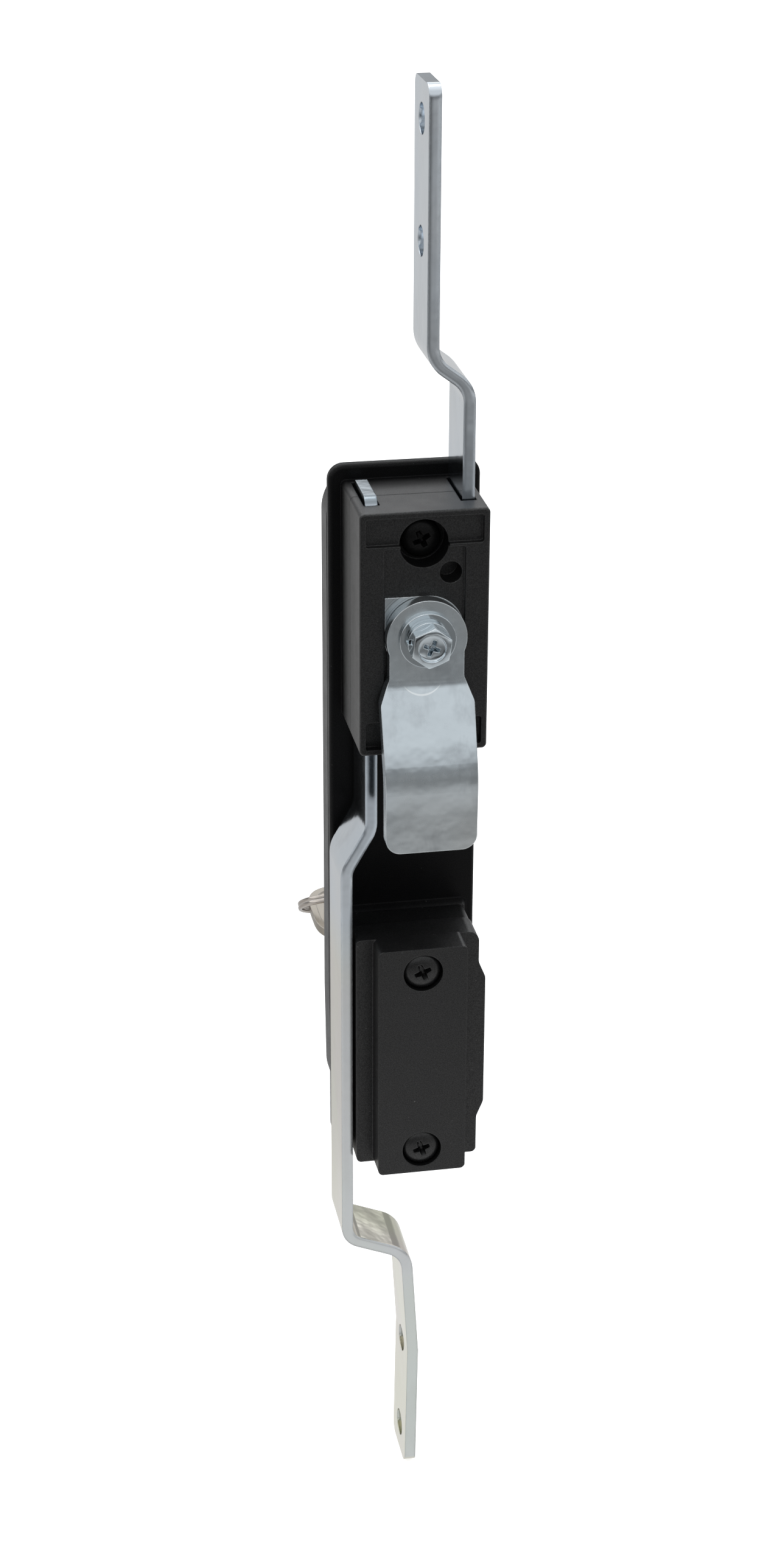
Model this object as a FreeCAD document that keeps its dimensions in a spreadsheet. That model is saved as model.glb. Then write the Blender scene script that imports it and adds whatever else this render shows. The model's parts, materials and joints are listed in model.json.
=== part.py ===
import FreeCAD, Part
import math
import os
import re
from types import SimpleNamespace

import Sketcher
from FreeCAD import Placement, Rotation, Vector

# Swing-handle rod lock for a cabinet door, in millimetres.
# The origin lies on the door face of the flange, on the centre line between the two bosses.
# +Z points up, -Y towards the user, +Y into the cabinet.

SIZES = {
    # Dish: the flange in front of the door and its two bosses
    "spindle_height": 50.0,
    "flange_width": 33.6,
    "flange_above_spindle": 30.8,
    "flange_below_spindle": 140.0,
    "flange_thickness": 2.2,
    "flange_top_radius": 3.6,
    "flange_foot_radius": 7.0,
    "flange_edge_round": 0.9,
    "boss_depth": 11.4,
    "boss_corner": 1.4,
    "toe_gap": 1.0,
    "toe_rise": 5.6,
    "toe_corner": 0.8,
    "socket_corner": 0.4,
    # Gearbox housing
    "gearbox_depth": 12.0,
    "gearbox_height": 55.0,
    "gearbox_corner": 1.1,
    "channel_wall": 1.85,
    "rim_width": 1.3,
    "head_recess_depth": 1.4,
    "channel_recess_width": 17.6,
    "channel_recess_depth": 1.0,
    "foot_recess_height": 6.4,
    "foot_recess_depth": 2.0,
    "recess_corner": 0.6,
    "ledge_height": 20.0,
    "gearbox_screw_offset": 20.0,
    "gearbox_counterbore": 10.6,
    "gearbox_counterbore_depth": 6.4,
    "dowel_hole": 4.8,
    "dowel_hole_depth": 6.0,
    "dowel_x": 5.8,
    "dowel_z": 13.3,
    # Rods
    "rod_thickness": 2.65,
    "rod_width": 15.0,
    "rod_front": 2.4,
    "rod_side_clearance": 0.4,
    "rod_edge_clearance": 0.5,
    "rod_tail": 29.0,
    "rod_jog_radius": 5.0,
    "rod_knee_radius": 3.0,
    "rod_corner": 2.5,
    "rod_hole": 6.5,
    "rod_hole_pitch": 25.0,
    "upper_rod_reach": 114.5,
    "upper_end_margin": 8.1,
    "upper_jog_start": 51.8,
    "upper_jog_rise": 5.9,
    "upper_end_offset": 2.5,
    "lower_jog_start": 48.1,
    "lower_jog_drop": 9.85,
    "lower_side_offset": 16.0,
    "lower_knee_drop": 154.3,
    "lower_leg_fall": 5.7,
    "lower_leg_offset": 1.9,
    "lower_kink_drop": 188.0,
    "lower_kink_offset": 0.15,
    "lower_end_offset": 0.65,
    "lower_rod_reach": 221.15,
    "lower_end_margin": 7.0,
    # Pinion and the windows that it drives
    "pinion_teeth": 8,
    "pinion_pitch_radius": 10.2,
    "rack_offset": 0.225,
    "tooth_addendum": 1.2,
    "tooth_root_depth": 1.75,
    "tooth_tip_width": 1.8,
    "tooth_root_width": 4.0,
    "pinion_thickness": 8.0,
    "pinion_clearance": 0.35,
    "window_length": 4.8,
    # Spindle and what turns with it
    "spindle_square": 8.0,
    "journal": 12.0,
    "journal_clearance": 0.08,
    "square_clearance": 0.05,
    "stop_plate_side": 17.2,
    "stop_plate_thickness": 0.9,
    "stop_plate_round": 8.0,
    "cam_gap": 0.1,
    "cam_thickness": 3.0,
    "cam_width": 20.4,
    "cam_foot_width": 20.0,
    "cam_head": 17.4,
    "cam_neck_half_width": 8.1,
    "cam_neck_drop": 8.8,
    "cam_shoulder_drop": 14.2,
    "cam_bend_drop": 10.5,
    "cam_knee_drop": 30.0,
    "cam_setback": 7.0,
    "cam_reach": 46.6,
    "cam_corner": 3.3,
    "cam_neck_radius": 2.0,
    "cam_shoulder_radius": 2.5,
    "cam_bend_radius": 6.0,
    "cam_set_radius": 15.0,
    "washer_outside": 12.2,
    "washer_thickness": 1.0,
    "spring_washer_outside": 9.2,
    "spring_washer_thickness": 1.3,
    "spring_washer_gap": 1.0,
    "bolt_shank": 5.0,
    "bolt_flats": 8.0,
    "bolt_head_height": 3.6,
    "bolt_head_dish": 6.0,
    "bolt_dish_depth": 0.5,
    "bolt_grip": 12.0,
    "thread_clearance": 0.05,
    # Clamp bracket and the boss that it sits on
    "bracket_top_drop": 74.5,
    "bracket_length": 57.8,
    "bracket_width": 28.2,
    "bracket_plate": 7.7,
    "bracket_block": 6.55,
    "bracket_block_width": 20.3,
    "bracket_draft": 1.0,
    "bracket_corner": 1.2,
    "bracket_top_round": 2.5,
    "ear_width": 1.6,
    "ear_length": 32.6,
    "ear_drop": 11.7,
    "ear_slope": 3.9,
    "ear_round": 3.0,
    "bracket_screw_inset": 6.0,
    "bracket_screw_head": 8.6,
    "bracket_recess": 9.0,
    "lower_boss_width": 28.2,
    "lower_boss_foot": 2.0,
    "lower_boss_taper": 24.0,
    "lower_boss_inset": 1.6,
    # Small screws
    "screw_shank": 4.0,
    "screw_head_height": 2.6,
    "screw_head_chamfer": 0.7,
    "screw_head_sunk": 0.2,
    "cross_length": 4.5,
    "cross_width": 1.1,
    "cross_depth": 1.6,
    "screw_clearance": 0.1,
    "screw_depth": 8.0,
    # Handle
    "handle_gap": 0.6,
    "handle_side_depth": 6.7,
    "handle_depth": 12.2,
    "handle_wall": 2.4,
    "handle_below_flange_top": 4.4,
    "handle_below_spindle": 129.6,
    "handle_taper_start": 100.0,
    "handle_taper": 0.5,
    "handle_taper_radius": 60.0,
    "handle_top_radius": 8.0,
    "handle_foot_radius": 10.0,
    "handle_front_radius": 4.0,
    "hinge_radius": 5.2,
    "hinge_lug": 3.1,
    "hinge_lug_width": 10.0,
    "hinge_lug_clearance": 0.8,
    "hinge_drop": 5.2,
    "hinge_pin": 3.0,
    "hinge_clearance": 0.05,
    "hinge_pin_inset": 1.2,
    "head_gap": 0.3,
    "head_drop": 12.0,
    "head_side_gap": 0.6,
    "head_slope_drop": 4.5,
    "head_slope": 2.8,
    # Key lock
    "lock_drop": 96.0,
    "lock_boss": 20.0,
    "lock_boss_rise": 0.4,
    "lock_boss_seat": 5.4,
    "lock_barrel": 14.8,
    "lock_barrel_clearance": 0.1,
    "lock_bezel": 18.0,
    "lock_bezel_thickness": 1.2,
    "lock_bezel_chamfer": 0.5,
    "lock_nut": 17.6,
    "lock_nut_thickness": 1.8,
    "plug": 10.0,
    "plug_clearance": 0.05,
    "plug_proud": 0.3,
    "plug_short": 0.4,
    "drive_pin": 2.4,
    "drive_pin_radius": 3.0,
    "deadbolt_thickness": 3.0,
    "deadbolt_width": 9.0,
    "deadbolt_tail": 7.0,
    "deadbolt_slot": 4.4,
    "deadbolt_clearance": 0.15,
    "deadbolt_throw": 3.0,
    "cover_thickness": 0.6,
    "cover_clearance": 0.1,
    "cover_above_lock": 10.0,
    # Key and ring
    "key_thickness": 2.0,
    "key_blade_width": 7.4,
    "key_blade_depth": 7.4,
    "key_neck": 7.0,
    "key_bow_width": 28.0,
    "key_bow_length": 27.0,
    "key_bow_slope": 3.0,
    "key_bow_near_radius": 7.0,
    "key_bow_far_radius": 11.0,
    "key_neck_radius": 1.5,
    "key_tip_radius": 1.2,
    "key_eye": 8.0,
    "key_eye_margin": 4.0,
    "key_clearance": 0.1,
    "ring_outside": 18.6,
    "ring_wire": 1.2,
    "ring_turn_height": 1.0,
    "ring_chamfer": 0.25,
    "ring_slope": 36.0,
}

WORKED = {
    "gearbox_rear": "boss_depth + gearbox_depth",
    "flange_length": "flange_above_spindle + flange_below_spindle",
    "flange_middle": "spindle_height + (flange_above_spindle - flange_below_spindle) / 2",
    "rod_centre": "pinion_pitch_radius + rack_offset",
    "channel_inside": "rod_centre - rod_thickness / 2 - rod_side_clearance",
    "channel_outside": "rod_centre + rod_thickness / 2 + rod_side_clearance",
    "gearbox_width": "2 * (channel_outside + channel_wall)",
    "rod_middle": "rod_front + rod_width / 2",
    "channel_front": "rod_front - rod_edge_clearance",
    "channel_rear": "rod_front + rod_width + rod_edge_clearance",
    "pinion_front": "rod_middle - pinion_thickness / 2",
    "pinion_rear": "rod_middle + pinion_thickness / 2",
    "pinion_tip_radius": "pinion_pitch_radius + tooth_addendum",
    "pinion_root_radius": "pinion_pitch_radius - tooth_root_depth",
    "cavity_radius": "pinion_tip_radius + pinion_clearance",
    "cavity_front": "pinion_front - pinion_clearance",
    "cavity_rear": "pinion_rear + pinion_clearance",
    "journal_hole": "journal + 2 * journal_clearance",
    "square_hole": "spindle_square + 2 * square_clearance",
    "cam_front": "gearbox_rear + cam_gap",
    "cam_rear": "cam_front + cam_thickness",
    "bracket_top": "spindle_height - bracket_top_drop",
    "bracket_foot": "bracket_top - bracket_length",
    "lower_boss_top": "bracket_top - lower_boss_inset",
    "lower_boss_end": "bracket_foot + lower_boss_inset",
    "bracket_plate_rear": "boss_depth + bracket_plate",
    "bracket_rear": "bracket_plate_rear + bracket_block",
    "handle_rear": "-flange_thickness - handle_gap",
    "handle_side_front": "handle_rear - handle_side_depth",
    "handle_front": "handle_rear - handle_depth",
    "handle_foot": "spindle_height - handle_below_spindle",
    "hinge_y": "handle_rear - hinge_radius",
    "hinge_z": "spindle_height + flange_above_spindle - handle_below_flange_top - hinge_drop",
    "handle_top": "hinge_z + hinge_radius",
    "handle_inside": "flange_width / 2 - handle_wall",
    "head_rear": "-flange_thickness - head_gap",
    "head_front": "hinge_y - hinge_lug",
    "lock_z": "spindle_height - lock_drop",
    "lock_boss_front": "handle_front - lock_boss_rise",
    "lock_boss_rear": "lock_boss_front + lock_boss_seat",
    "deadbolt_rear": "handle_rear - cover_thickness - deadbolt_clearance",
    "deadbolt_front": "deadbolt_rear - deadbolt_thickness",
    "barrel_rear": "deadbolt_front - deadbolt_clearance",
    "plug_front": "lock_boss_front - lock_bezel_thickness - plug_proud",
    "plug_rear": "barrel_rear - plug_short",
    "toe_top": "handle_foot - toe_gap",
    "toe_foot": "spindle_height - flange_below_spindle",
    "key_front": "plug_front - key_neck",
}

doc = FreeCAD.newDocument("cabinet_lock")


def fill_sheet(name, cells, as_formula):
    """One spreadsheet row for each value: its name beside it, and the name as its alias."""
    sheet = doc.addObject("Spreadsheet::Sheet", name)
    for row, (alias, content) in enumerate(cells.items(), 1):
        sheet.set(f"A{row}", alias)
        sheet.set(f"B{row}", f"={sheet_terms(content)}" if as_formula else str(content))
        sheet.setAlias(f"B{row}", alias)
    doc.recompute()
    return sheet


def sheet_terms(formula):
    """The formula with each named value written as a reference to its cell."""
    def term(match):
        word = match.group(0)
        if word in SIZES:
            return f"Sizes.{word}"
        return f"Worked.{word}" if word in WORKED else word
    return re.sub(r"[a-z][a-z_]*", term, formula)


sizes_sheet = fill_sheet("Sizes", SIZES, False)
worked_sheet = fill_sheet("Worked", WORKED, True)
v = SimpleNamespace(
    **{alias: float(sizes_sheet.get(alias)) for alias in SIZES},
    **{alias: float(worked_sheet.get(alias)) for alias in WORKED},
)


def bind(item, **formulas):
    """Bind properties to formulas of named values; _x, _y and _z stand for the place."""
    paths = {"at_x": "Placement.Base.x", "at_y": "Placement.Base.y", "at_z": "Placement.Base.z"}
    for prop, formula in formulas.items():
        item.setExpression(paths.get(prop, prop), sheet_terms(str(formula)))
    return item


PIECES = []


def label(item, name):
    """Give a finished piece its name."""
    item.Label = name
    PIECES.append(item)
    return item


# Plain solids, booleans and extrusions

def block(name, size, corner):
    """A box: its X, Y and Z sizes and its lowest corner, all as formulas."""
    item = doc.addObject("Part::Box", name)
    return bind(item, Length=size[0], Width=size[1], Height=size[2],
                at_x=corner[0], at_y=corner[1], at_z=corner[2])


def rod_along(axis, name, radius, length, start):
    """A cylinder along the given axis, from its start point, all as formulas."""
    item = doc.addObject("Part::Cylinder", name)
    turns = {"x": Rotation(Vector(0, 1, 0), 90), "y": Rotation(Vector(1, 0, 0), -90), "z": Rotation()}
    item.Placement = Placement(Vector(), turns[axis])
    return bind(item, Radius=radius, Height=length, at_x=start[0], at_y=start[1], at_z=start[2])


def prism_along_y(name, sides, flats, length, start):
    """A regular prism along +Y with the given width across its flats."""
    item = doc.addObject("Part::Prism", name)
    item.Polygon = sides
    item.Placement = Placement(Vector(), Rotation(Vector(1, 0, 0), -90))
    return bind(item, Circumradius=f"({flats}) / 2 / cos({180 / sides} deg)", Height=length,
                at_x=start[0], at_y=start[1], at_z=start[2])


def fuse(name, *items):
    item = doc.addObject("Part::MultiFuse", name)
    item.Shapes = list(items)
    return item


def cut(name, base, *tools):
    item = doc.addObject("Part::Cut", name)
    item.Base = base
    item.Tool = tools[0] if len(tools) == 1 else fuse(f"{name}_tools", *tools)
    return item


def common(name, *items):
    item = doc.addObject("Part::MultiCommon", name)
    item.Shapes = list(items)
    return item


def chamfered(name, base, size, wanted):
    """Chamfer the edges of base that the test picks."""
    doc.recompute()
    item = doc.addObject("Part::Chamfer", name)
    item.Base = base
    item.Edges = [(number, size, size)
                  for number, edge in enumerate(base.Shape.Edges, 1) if wanted(edge)]
    return item


PLANES = {
    "XY": ("XY_Plane", Rotation()),
    "XZ": ("XZ_Plane", Rotation(Vector(1, 0, 0), 90)),
    "YZ": ("YZ_Plane", Rotation(Vector(1, 1, 1), 120)),
}


def corner_arcs(points, radii):
    """Lines and tangent arcs of a closed outline, from its corners and their radii."""
    corners = [Vector(x, y, 0) for x, y in points]
    if isinstance(radii, (int, float)):
        radii = [radii] * len(corners)
    entries, exits, middles = [], [], []
    for number, corner in enumerate(corners):
        back = (corners[number - 1] - corner).normalize()
        ahead = (corners[(number + 1) % len(corners)] - corner).normalize()
        half_turn = back.getAngle(ahead) / 2
        if radii[number] < 1e-6 or half_turn > math.pi / 2 - 1e-3:
            entries.append(corner)
            exits.append(corner)
            middles.append(None)
            continue
        reach = radii[number] / math.tan(half_turn)
        inwards = (back + ahead).normalize()
        middle = corner + inwards * (radii[number] / math.sin(half_turn) - radii[number])
        entries.append(corner + back * reach)
        exits.append(corner + ahead * reach)
        middles.append(middle)
    parts = []
    for number in range(len(corners)):
        if middles[number] is not None:
            parts.append(Part.Arc(entries[number], middles[number], exits[number]))
        following = entries[(number + 1) % len(corners)]
        if exits[number].distanceToPoint(following) > 1e-6:
            parts.append(Part.LineSegment(exits[number], following))
    return parts


def strip_outline(centres, thickness, inside_radii):
    """Corners and radii of a bent strip, from its centre line and the radius inside each bend."""
    line = [Vector(x, y, 0) for x, y in centres]
    left, right, left_radii, right_radii = [], [], [], []
    for number, point in enumerate(line):
        before = (point - line[number - 1]).normalize() if number else None
        after = (line[number + 1] - point).normalize() if number + 1 < len(line) else None
        along = before or after
        ahead = after or before
        normal = Vector(-along.y, along.x, 0) + Vector(-ahead.y, ahead.x, 0)
        normal = normal.normalize()
        reach = thickness / 2 / normal.dot(Vector(-along.y, along.x, 0))
        turn = along.cross(ahead).z
        left.append(point + normal * reach)
        right.append(point - normal * reach)
        bend = abs(turn) > 1e-6
        inside, outside = inside_radii[number], inside_radii[number] + thickness
        left_radii.append(bend * (inside if turn > 0 else outside))
        right_radii.append(bend * (inside if turn < 0 else outside))
    corners = [(p.x, p.y) for p in left] + [(p.x, p.y) for p in reversed(right)]
    return corners, left_radii + right_radii[::-1]


def place_sketch(sketch, plane, body, offset):
    """Attach a sketch to its body's origin plane, or turn a free one into that plane."""
    if body is None:
        sketch.Placement = Placement(Vector(), PLANES[plane][1])
        return
    role = PLANES[plane][0]
    support = next(item for item in body.Origin.OriginFeatures if item.Role == role)
    sketch.AttachmentSupport = [(support, "")]
    sketch.MapMode = "FlatFace"
    sketch.setExpression("AttachmentOffset.Base.z", sheet_terms(offset))


def new_sketch(name, plane, body=None, offset="0"):
    maker = body.newObject if body else doc.addObject
    sketch = maker("Sketcher::SketchObject", name)
    place_sketch(sketch, plane, body, offset)
    return sketch


def draw(sketch, curves):
    """Add closed curves to a sketch and hold them where they are."""
    first = sketch.GeometryCount
    sketch.addGeometry(curves, False)
    for number in range(first, sketch.GeometryCount):
        sketch.addConstraint(Sketcher.Constraint("Block", number))
    return sketch


def draw_circle(sketch, x, z, diameter):
    """A circle whose centre and diameter are bound to formulas."""
    numbers = [float(evaluate(x)), float(evaluate(z)), float(evaluate(diameter)) / 2]
    index = sketch.addGeometry(Part.Circle(Vector(numbers[0], numbers[1], 0), Vector(0, 0, 1), numbers[2]))
    for kind, formula in (("DistanceX", x), ("DistanceY", z)):
        number = numbers[0] if kind == "DistanceX" else numbers[1]
        if abs(number) < 1e-9:
            axis = -2 if kind == "DistanceX" else -1
            sketch.addConstraint(Sketcher.Constraint("PointOnObject", index, 3, axis))
            continue
        row = sketch.addConstraint(Sketcher.Constraint(kind, -1, 1, index, 3, number))
        sketch.setExpression(f"Constraints[{row}]", sheet_terms(formula))
    row = sketch.addConstraint(Sketcher.Constraint("Diameter", index, numbers[2] * 2))
    sketch.setExpression(f"Constraints[{row}]", sheet_terms(diameter))
    return sketch


def evaluate(formula):
    """The number that a formula of named values gives."""
    probe = doc.getObject("Probe") or doc.addObject("App::FeaturePython", "Probe")
    if "number" not in probe.PropertiesList:
        probe.addProperty("App::PropertyFloat", "number")
    probe.setExpression("number", sheet_terms(formula))
    probe.recompute()
    return probe.number


def draw_rectangle(sketch, width, height, radius, x="0", z="0"):
    """A rounded rectangle about (x, z) whose sizes are bound to formulas."""
    half_w, half_h = evaluate(width) / 2, evaluate(height) / 2
    cx, cz = evaluate(x), evaluate(z)
    corners = [(cx - half_w, cz - half_h), (cx + half_w, cz - half_h),
               (cx + half_w, cz + half_h), (cx - half_w, cz + half_h)]
    return draw(sketch, corner_arcs(corners, evaluate(radius)))


def new_body(name):
    return doc.addObject("PartDesign::Body", name)


def pad(body, name, sketch, length, rearwards=True, taper=None):
    """Pad a sketch; sketches in XZ face -Y, so rearwards means reversed."""
    item = body.newObject("PartDesign::Pad", name)
    item.Profile = sketch
    item.Reversed = rearwards
    bind(item, Length=length)
    if taper:
        bind(item, TaperAngle=taper)
    return item


def pocket(body, name, sketch, length, rearwards=False):
    """Cut a sketch into the body; the cut has to remove material."""
    doc.recompute()
    before = body.Shape.Volume
    item = body.newObject("PartDesign::Pocket", name)
    item.Profile = sketch
    item.Reversed = not rearwards
    bind(item, Length=length)
    doc.recompute()
    if body.Shape.Volume > before - 1e-3:
        raise RuntimeError(f"{body.Name}.{name} removes nothing")
    return item


def outline_pad(body, name, curves, plane, start, length, rearwards=True, taper=None):
    sketch = draw(new_sketch(f"{name}_outline", plane, body, start), curves)
    return pad(body, name, sketch, length, rearwards, taper)


def extrude(name, sketch, direction, length):
    item = doc.addObject("Part::Extrusion", name)
    item.Base = sketch
    item.DirMode = "Custom"
    item.Dir = direction
    item.Solid = True
    item.Symmetric = True
    return bind(item, LengthFwd=length)


def edges_on(shape, axis, place):
    """Names of the edges of a shape that lie wholly in the plane axis = place."""
    low, high = f"{axis}Min", f"{axis}Max"
    return [f"Edge{number}" for number, edge in enumerate(shape.Edges, 1)
            if abs(getattr(edge.BoundBox, low) - place) < 1e-4
            and abs(getattr(edge.BoundBox, high) - place) < 1e-4]


def fillet(body, name, radius, pick):
    """Fillet the edges that pick names on the body's present shape."""
    doc.recompute()
    base = body.Tip
    item = body.newObject("PartDesign::Fillet", name)
    item.Base = (base, pick(base.Shape))
    bind(item, Radius=radius)
    return item


# Dish

def make_dish():
    body = new_body("Dish")
    flange = new_sketch("FlangeOutline", "XZ", body, "flange_thickness")
    half = v.flange_width / 2
    top = v.spindle_height + v.flange_above_spindle
    draw(flange, corner_arcs([(-half, v.toe_foot), (half, v.toe_foot), (half, top), (-half, top)],
                             [v.flange_foot_radius] * 2 + [v.flange_top_radius] * 2))
    pad(body, "Flange", flange, "flange_thickness")
    fillet(body, "FlangeRearRound", "flange_edge_round", lambda shape: edges_on(shape, "Y", 0))

    upper = draw_rectangle(new_sketch("UpperBossOutline", "XZ", body), "gearbox_width",
                           "gearbox_height", "gearbox_corner", z="spindle_height")
    pad(body, "UpperBoss", upper, "boss_depth")
    flare = v.lower_boss_foot * math.tan(math.radians(v.lower_boss_taper))
    half_w = v.lower_boss_width / 2
    low, high = v.lower_boss_end, v.lower_boss_top
    wide = [(-half_w - flare, low - flare), (half_w + flare, low - flare),
            (half_w + flare, high + flare), (-half_w - flare, high + flare)]
    outline_pad(body, "LowerBossFoot", corner_arcs(wide, v.boss_corner), "XZ", "0",
                "lower_boss_foot", taper="-lower_boss_taper")
    lower = [(-half_w, low), (half_w, low), (half_w, high), (-half_w, high)]
    outline_pad(body, "LowerBoss", corner_arcs(lower, v.boss_corner), "XZ", "0", "boss_depth")

    toe = draw(new_sketch("ToeOutline", "XZ", body, "flange_thickness"), toe_outline())
    pad(body, "Toe", toe, "toe_rise", rearwards=False)
    cut_toe_socket(body)
    for side, name in ((-1, "Left"), (1, "Right")):
        channel = draw(new_sketch(f"{name}Channel", "XZ", body, "-boss_depth"), channel_outline(side))
        pocket(body, f"{name}RodChannel", channel, "boss_depth - channel_front")
    cavity = draw_circle(new_sketch("CavityCircle", "XZ", body, "-boss_depth"), "0", "spindle_height",
                         "2 * cavity_radius")
    pocket(body, "PinionCavity", cavity, "boss_depth - cavity_front")
    bore = draw_circle(new_sketch("BoreCircle", "XZ", body, "-boss_depth"), "0", "spindle_height",
                       "journal_hole")
    pocket(body, "SpindleBore", bore, "boss_depth + flange_thickness + 1")
    pilots = new_sketch("PilotCircles", "XZ", body, "-boss_depth")
    for height in screw_heights():
        draw_circle(pilots, "0", height, "screw_shank + 2 * thread_clearance")
    pocket(body, "ScrewPilots", pilots, "screw_depth + 1")
    return label(body, "dish")


def screw_heights():
    """The heights of the four screws that hold gearbox and bracket, as formulas."""
    return ["spindle_height + gearbox_screw_offset", "spindle_height - gearbox_screw_offset",
            "bracket_top - bracket_screw_inset",
            "bracket_foot + bracket_screw_inset"]


def channel_outline(side):
    low, high = v.spindle_height - v.gearbox_height, v.spindle_height + v.gearbox_height
    corners = [(side * v.channel_inside, low), (side * v.channel_outside, low),
               (side * v.channel_outside, high), (side * v.channel_inside, high)]
    return corner_arcs(corners, 0)


def toe_outline():
    half = v.flange_width / 2 - v.flange_edge_round
    low = v.toe_foot + v.flange_edge_round
    return corner_arcs([(-half, low), (half, low), (half, v.toe_top), (-half, v.toe_top)],
                       [v.flange_foot_radius - v.flange_edge_round] * 2 + [v.toe_corner] * 2)


def cut_toe_socket(body):
    """The socket in the toe that takes the thrown deadbolt."""
    reach = v.deadbolt_throw + v.deadbolt_clearance - v.toe_gap + 1.0
    half = v.deadbolt_width / 2 + v.deadbolt_clearance * 2
    socket = new_sketch("SocketOutline", "XY", body, "toe_top")
    rear = v.deadbolt_rear + v.deadbolt_clearance
    front = v.deadbolt_front - v.deadbolt_clearance
    draw(socket, corner_arcs([(-half, front), (half, front), (half, rear), (-half, rear)],
                             v.socket_corner))
    pocket(body, "BoltSocket", socket, str(reach), rearwards=True)


# Gearbox housing

def make_gearbox():
    body = new_body("Gearbox")
    outline = draw_rectangle(new_sketch("HousingOutline", "XZ", body, "-boss_depth"), "gearbox_width",
                             "gearbox_height", "gearbox_corner", z="spindle_height")
    pad(body, "Housing", outline, "gearbox_depth")
    fillet(body, "RearEdgeRound", "0.5", lambda shape: edges_on(shape, "Y", v.gearbox_rear))
    for side, name in ((-1, "Left"), (1, "Right")):
        channel = draw(new_sketch(f"{name}Slot", "XZ", body, "-channel_rear"), channel_outline(side))
        pocket(body, f"{name}RodSlot", channel, "channel_rear - boss_depth")
    cavity = draw_circle(new_sketch("HousingCavity", "XZ", body, "-cavity_rear"), "0", "spindle_height",
                         "2 * cavity_radius")
    pocket(body, "PinionSpace", cavity, "cavity_rear - boss_depth")
    bore = draw_circle(new_sketch("HubCircle", "XZ", body, "-gearbox_rear"), "0", "spindle_height",
                       "journal_hole")
    pocket(body, "HubBore", bore, "gearbox_depth")

    half = v.gearbox_width / 2 - v.rim_width
    ledge = v.spindle_height + v.ledge_height
    head_top = v.spindle_height + v.gearbox_height / 2 - v.rim_width
    rear_cut(body, "HeadRecess", [(-half, ledge), (half, ledge), (half, head_top), (-half, head_top)],
             "head_recess_depth")
    strip = v.channel_recess_width / 2
    foot = v.spindle_height - v.gearbox_height / 2 + v.rim_width
    shelf = ledge - v.recess_corner
    rear_cut(body, "ChannelRecess", [(-strip, foot), (strip, foot), (strip, shelf), (-strip, shelf)],
             "channel_recess_depth")
    rise = foot + v.foot_recess_height
    rear_cut(body, "FootRecess", [(-half, foot), (half, foot), (half, rise), (-half, rise)],
             "foot_recess_depth")
    bores = new_sketch("CounterboreCircles", "XZ", body, "-gearbox_rear")
    holes = new_sketch("ScrewHoleCircles", "XZ", body, "-gearbox_rear")
    for height in screw_heights()[:2]:
        draw_circle(bores, "0", height, "gearbox_counterbore")
        draw_circle(holes, "0", height, "screw_shank + 2 * screw_clearance")
    pocket(body, "Counterbores", bores, "gearbox_counterbore_depth")
    pocket(body, "ScrewHoles", holes, "gearbox_depth")
    dowel = draw_circle(new_sketch("DowelCircle", "XZ", body, "-gearbox_rear"), "-dowel_x",
                        "spindle_height + dowel_z", "dowel_hole")
    pocket(body, "DowelHole", dowel, "dowel_hole_depth")
    return label(body, "gearbox_housing")


def rear_cut(body, name, corners, depth):
    """A shallow recess in the rear face of the gearbox."""
    sketch = draw(new_sketch(f"{name}Outline", "XZ", body, "-gearbox_rear"),
                  corner_arcs(corners, v.recess_corner))
    pocket(body, name, sketch, depth)


def make_stop_plate():
    """A plate with one square corner; the other three are cut round, within the cam's head."""
    body = new_body("StopPlate")
    seat = "-(gearbox_rear - channel_recess_depth)"
    half = v.stop_plate_side / 2
    low, high = v.spindle_height - half, v.spindle_height + half
    corners = [(-half, low), (half, low), (half, high), (-half, high)]
    turn = v.stop_plate_round
    outline_pad(body, "Plate", corner_arcs(corners, [turn, turn, 0, turn]), "XZ", seat,
                "stop_plate_thickness")
    hole = draw_circle(new_sketch("HoleCircle", "XZ", body, seat), "0", "spindle_height", "journal_hole")
    pocket(body, "Hole", hole, "stop_plate_thickness", rearwards=True)
    return label(body, "stop_plate")


# Clamp bracket

def make_bracket():
    body = new_body("Bracket")
    half = v.bracket_width / 2
    ear = half + v.ear_width
    top, foot = v.bracket_top, v.bracket_foot
    ear_top = top - v.ear_drop
    ear_foot = ear_top - v.ear_length
    corners = [(half, foot), (half, top), (-half, top), (-half, ear_top + v.ear_slope),
               (-ear, ear_top), (-ear, ear_foot), (-half, ear_foot - v.ear_slope), (-half, foot)]
    plain, turn = v.bracket_corner, v.ear_round
    radii = [plain, plain, v.bracket_top_round, turn, turn, turn, turn, plain]
    outline_pad(body, "Plate", corner_arcs(corners, radii), "XZ", "-boss_depth", "bracket_plate")
    width = v.bracket_block_width / 2
    raised = [(-width, foot), (width, foot), (width, top), (-width, top)]
    outline_pad(body, "Block", corner_arcs(raised, v.bracket_corner), "XZ", "-bracket_rear",
                "bracket_block + 0.5", rearwards=False, taper="bracket_draft")
    recess = new_sketch("RecessCircles", "XZ", body, "-bracket_rear")
    holes = new_sketch("BracketHoleCircles", "XZ", body, "-bracket_rear")
    for height in screw_heights()[2:]:
        draw_circle(recess, "0", height, "bracket_recess")
        draw_circle(holes, "0", height, "screw_shank + 2 * screw_clearance")
    pocket(body, "HeadRecesses", recess, "screw_head_height + screw_head_sunk")
    pocket(body, "BracketHoles", holes, "bracket_rear")
    return label(body, "clamp_bracket")


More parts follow.
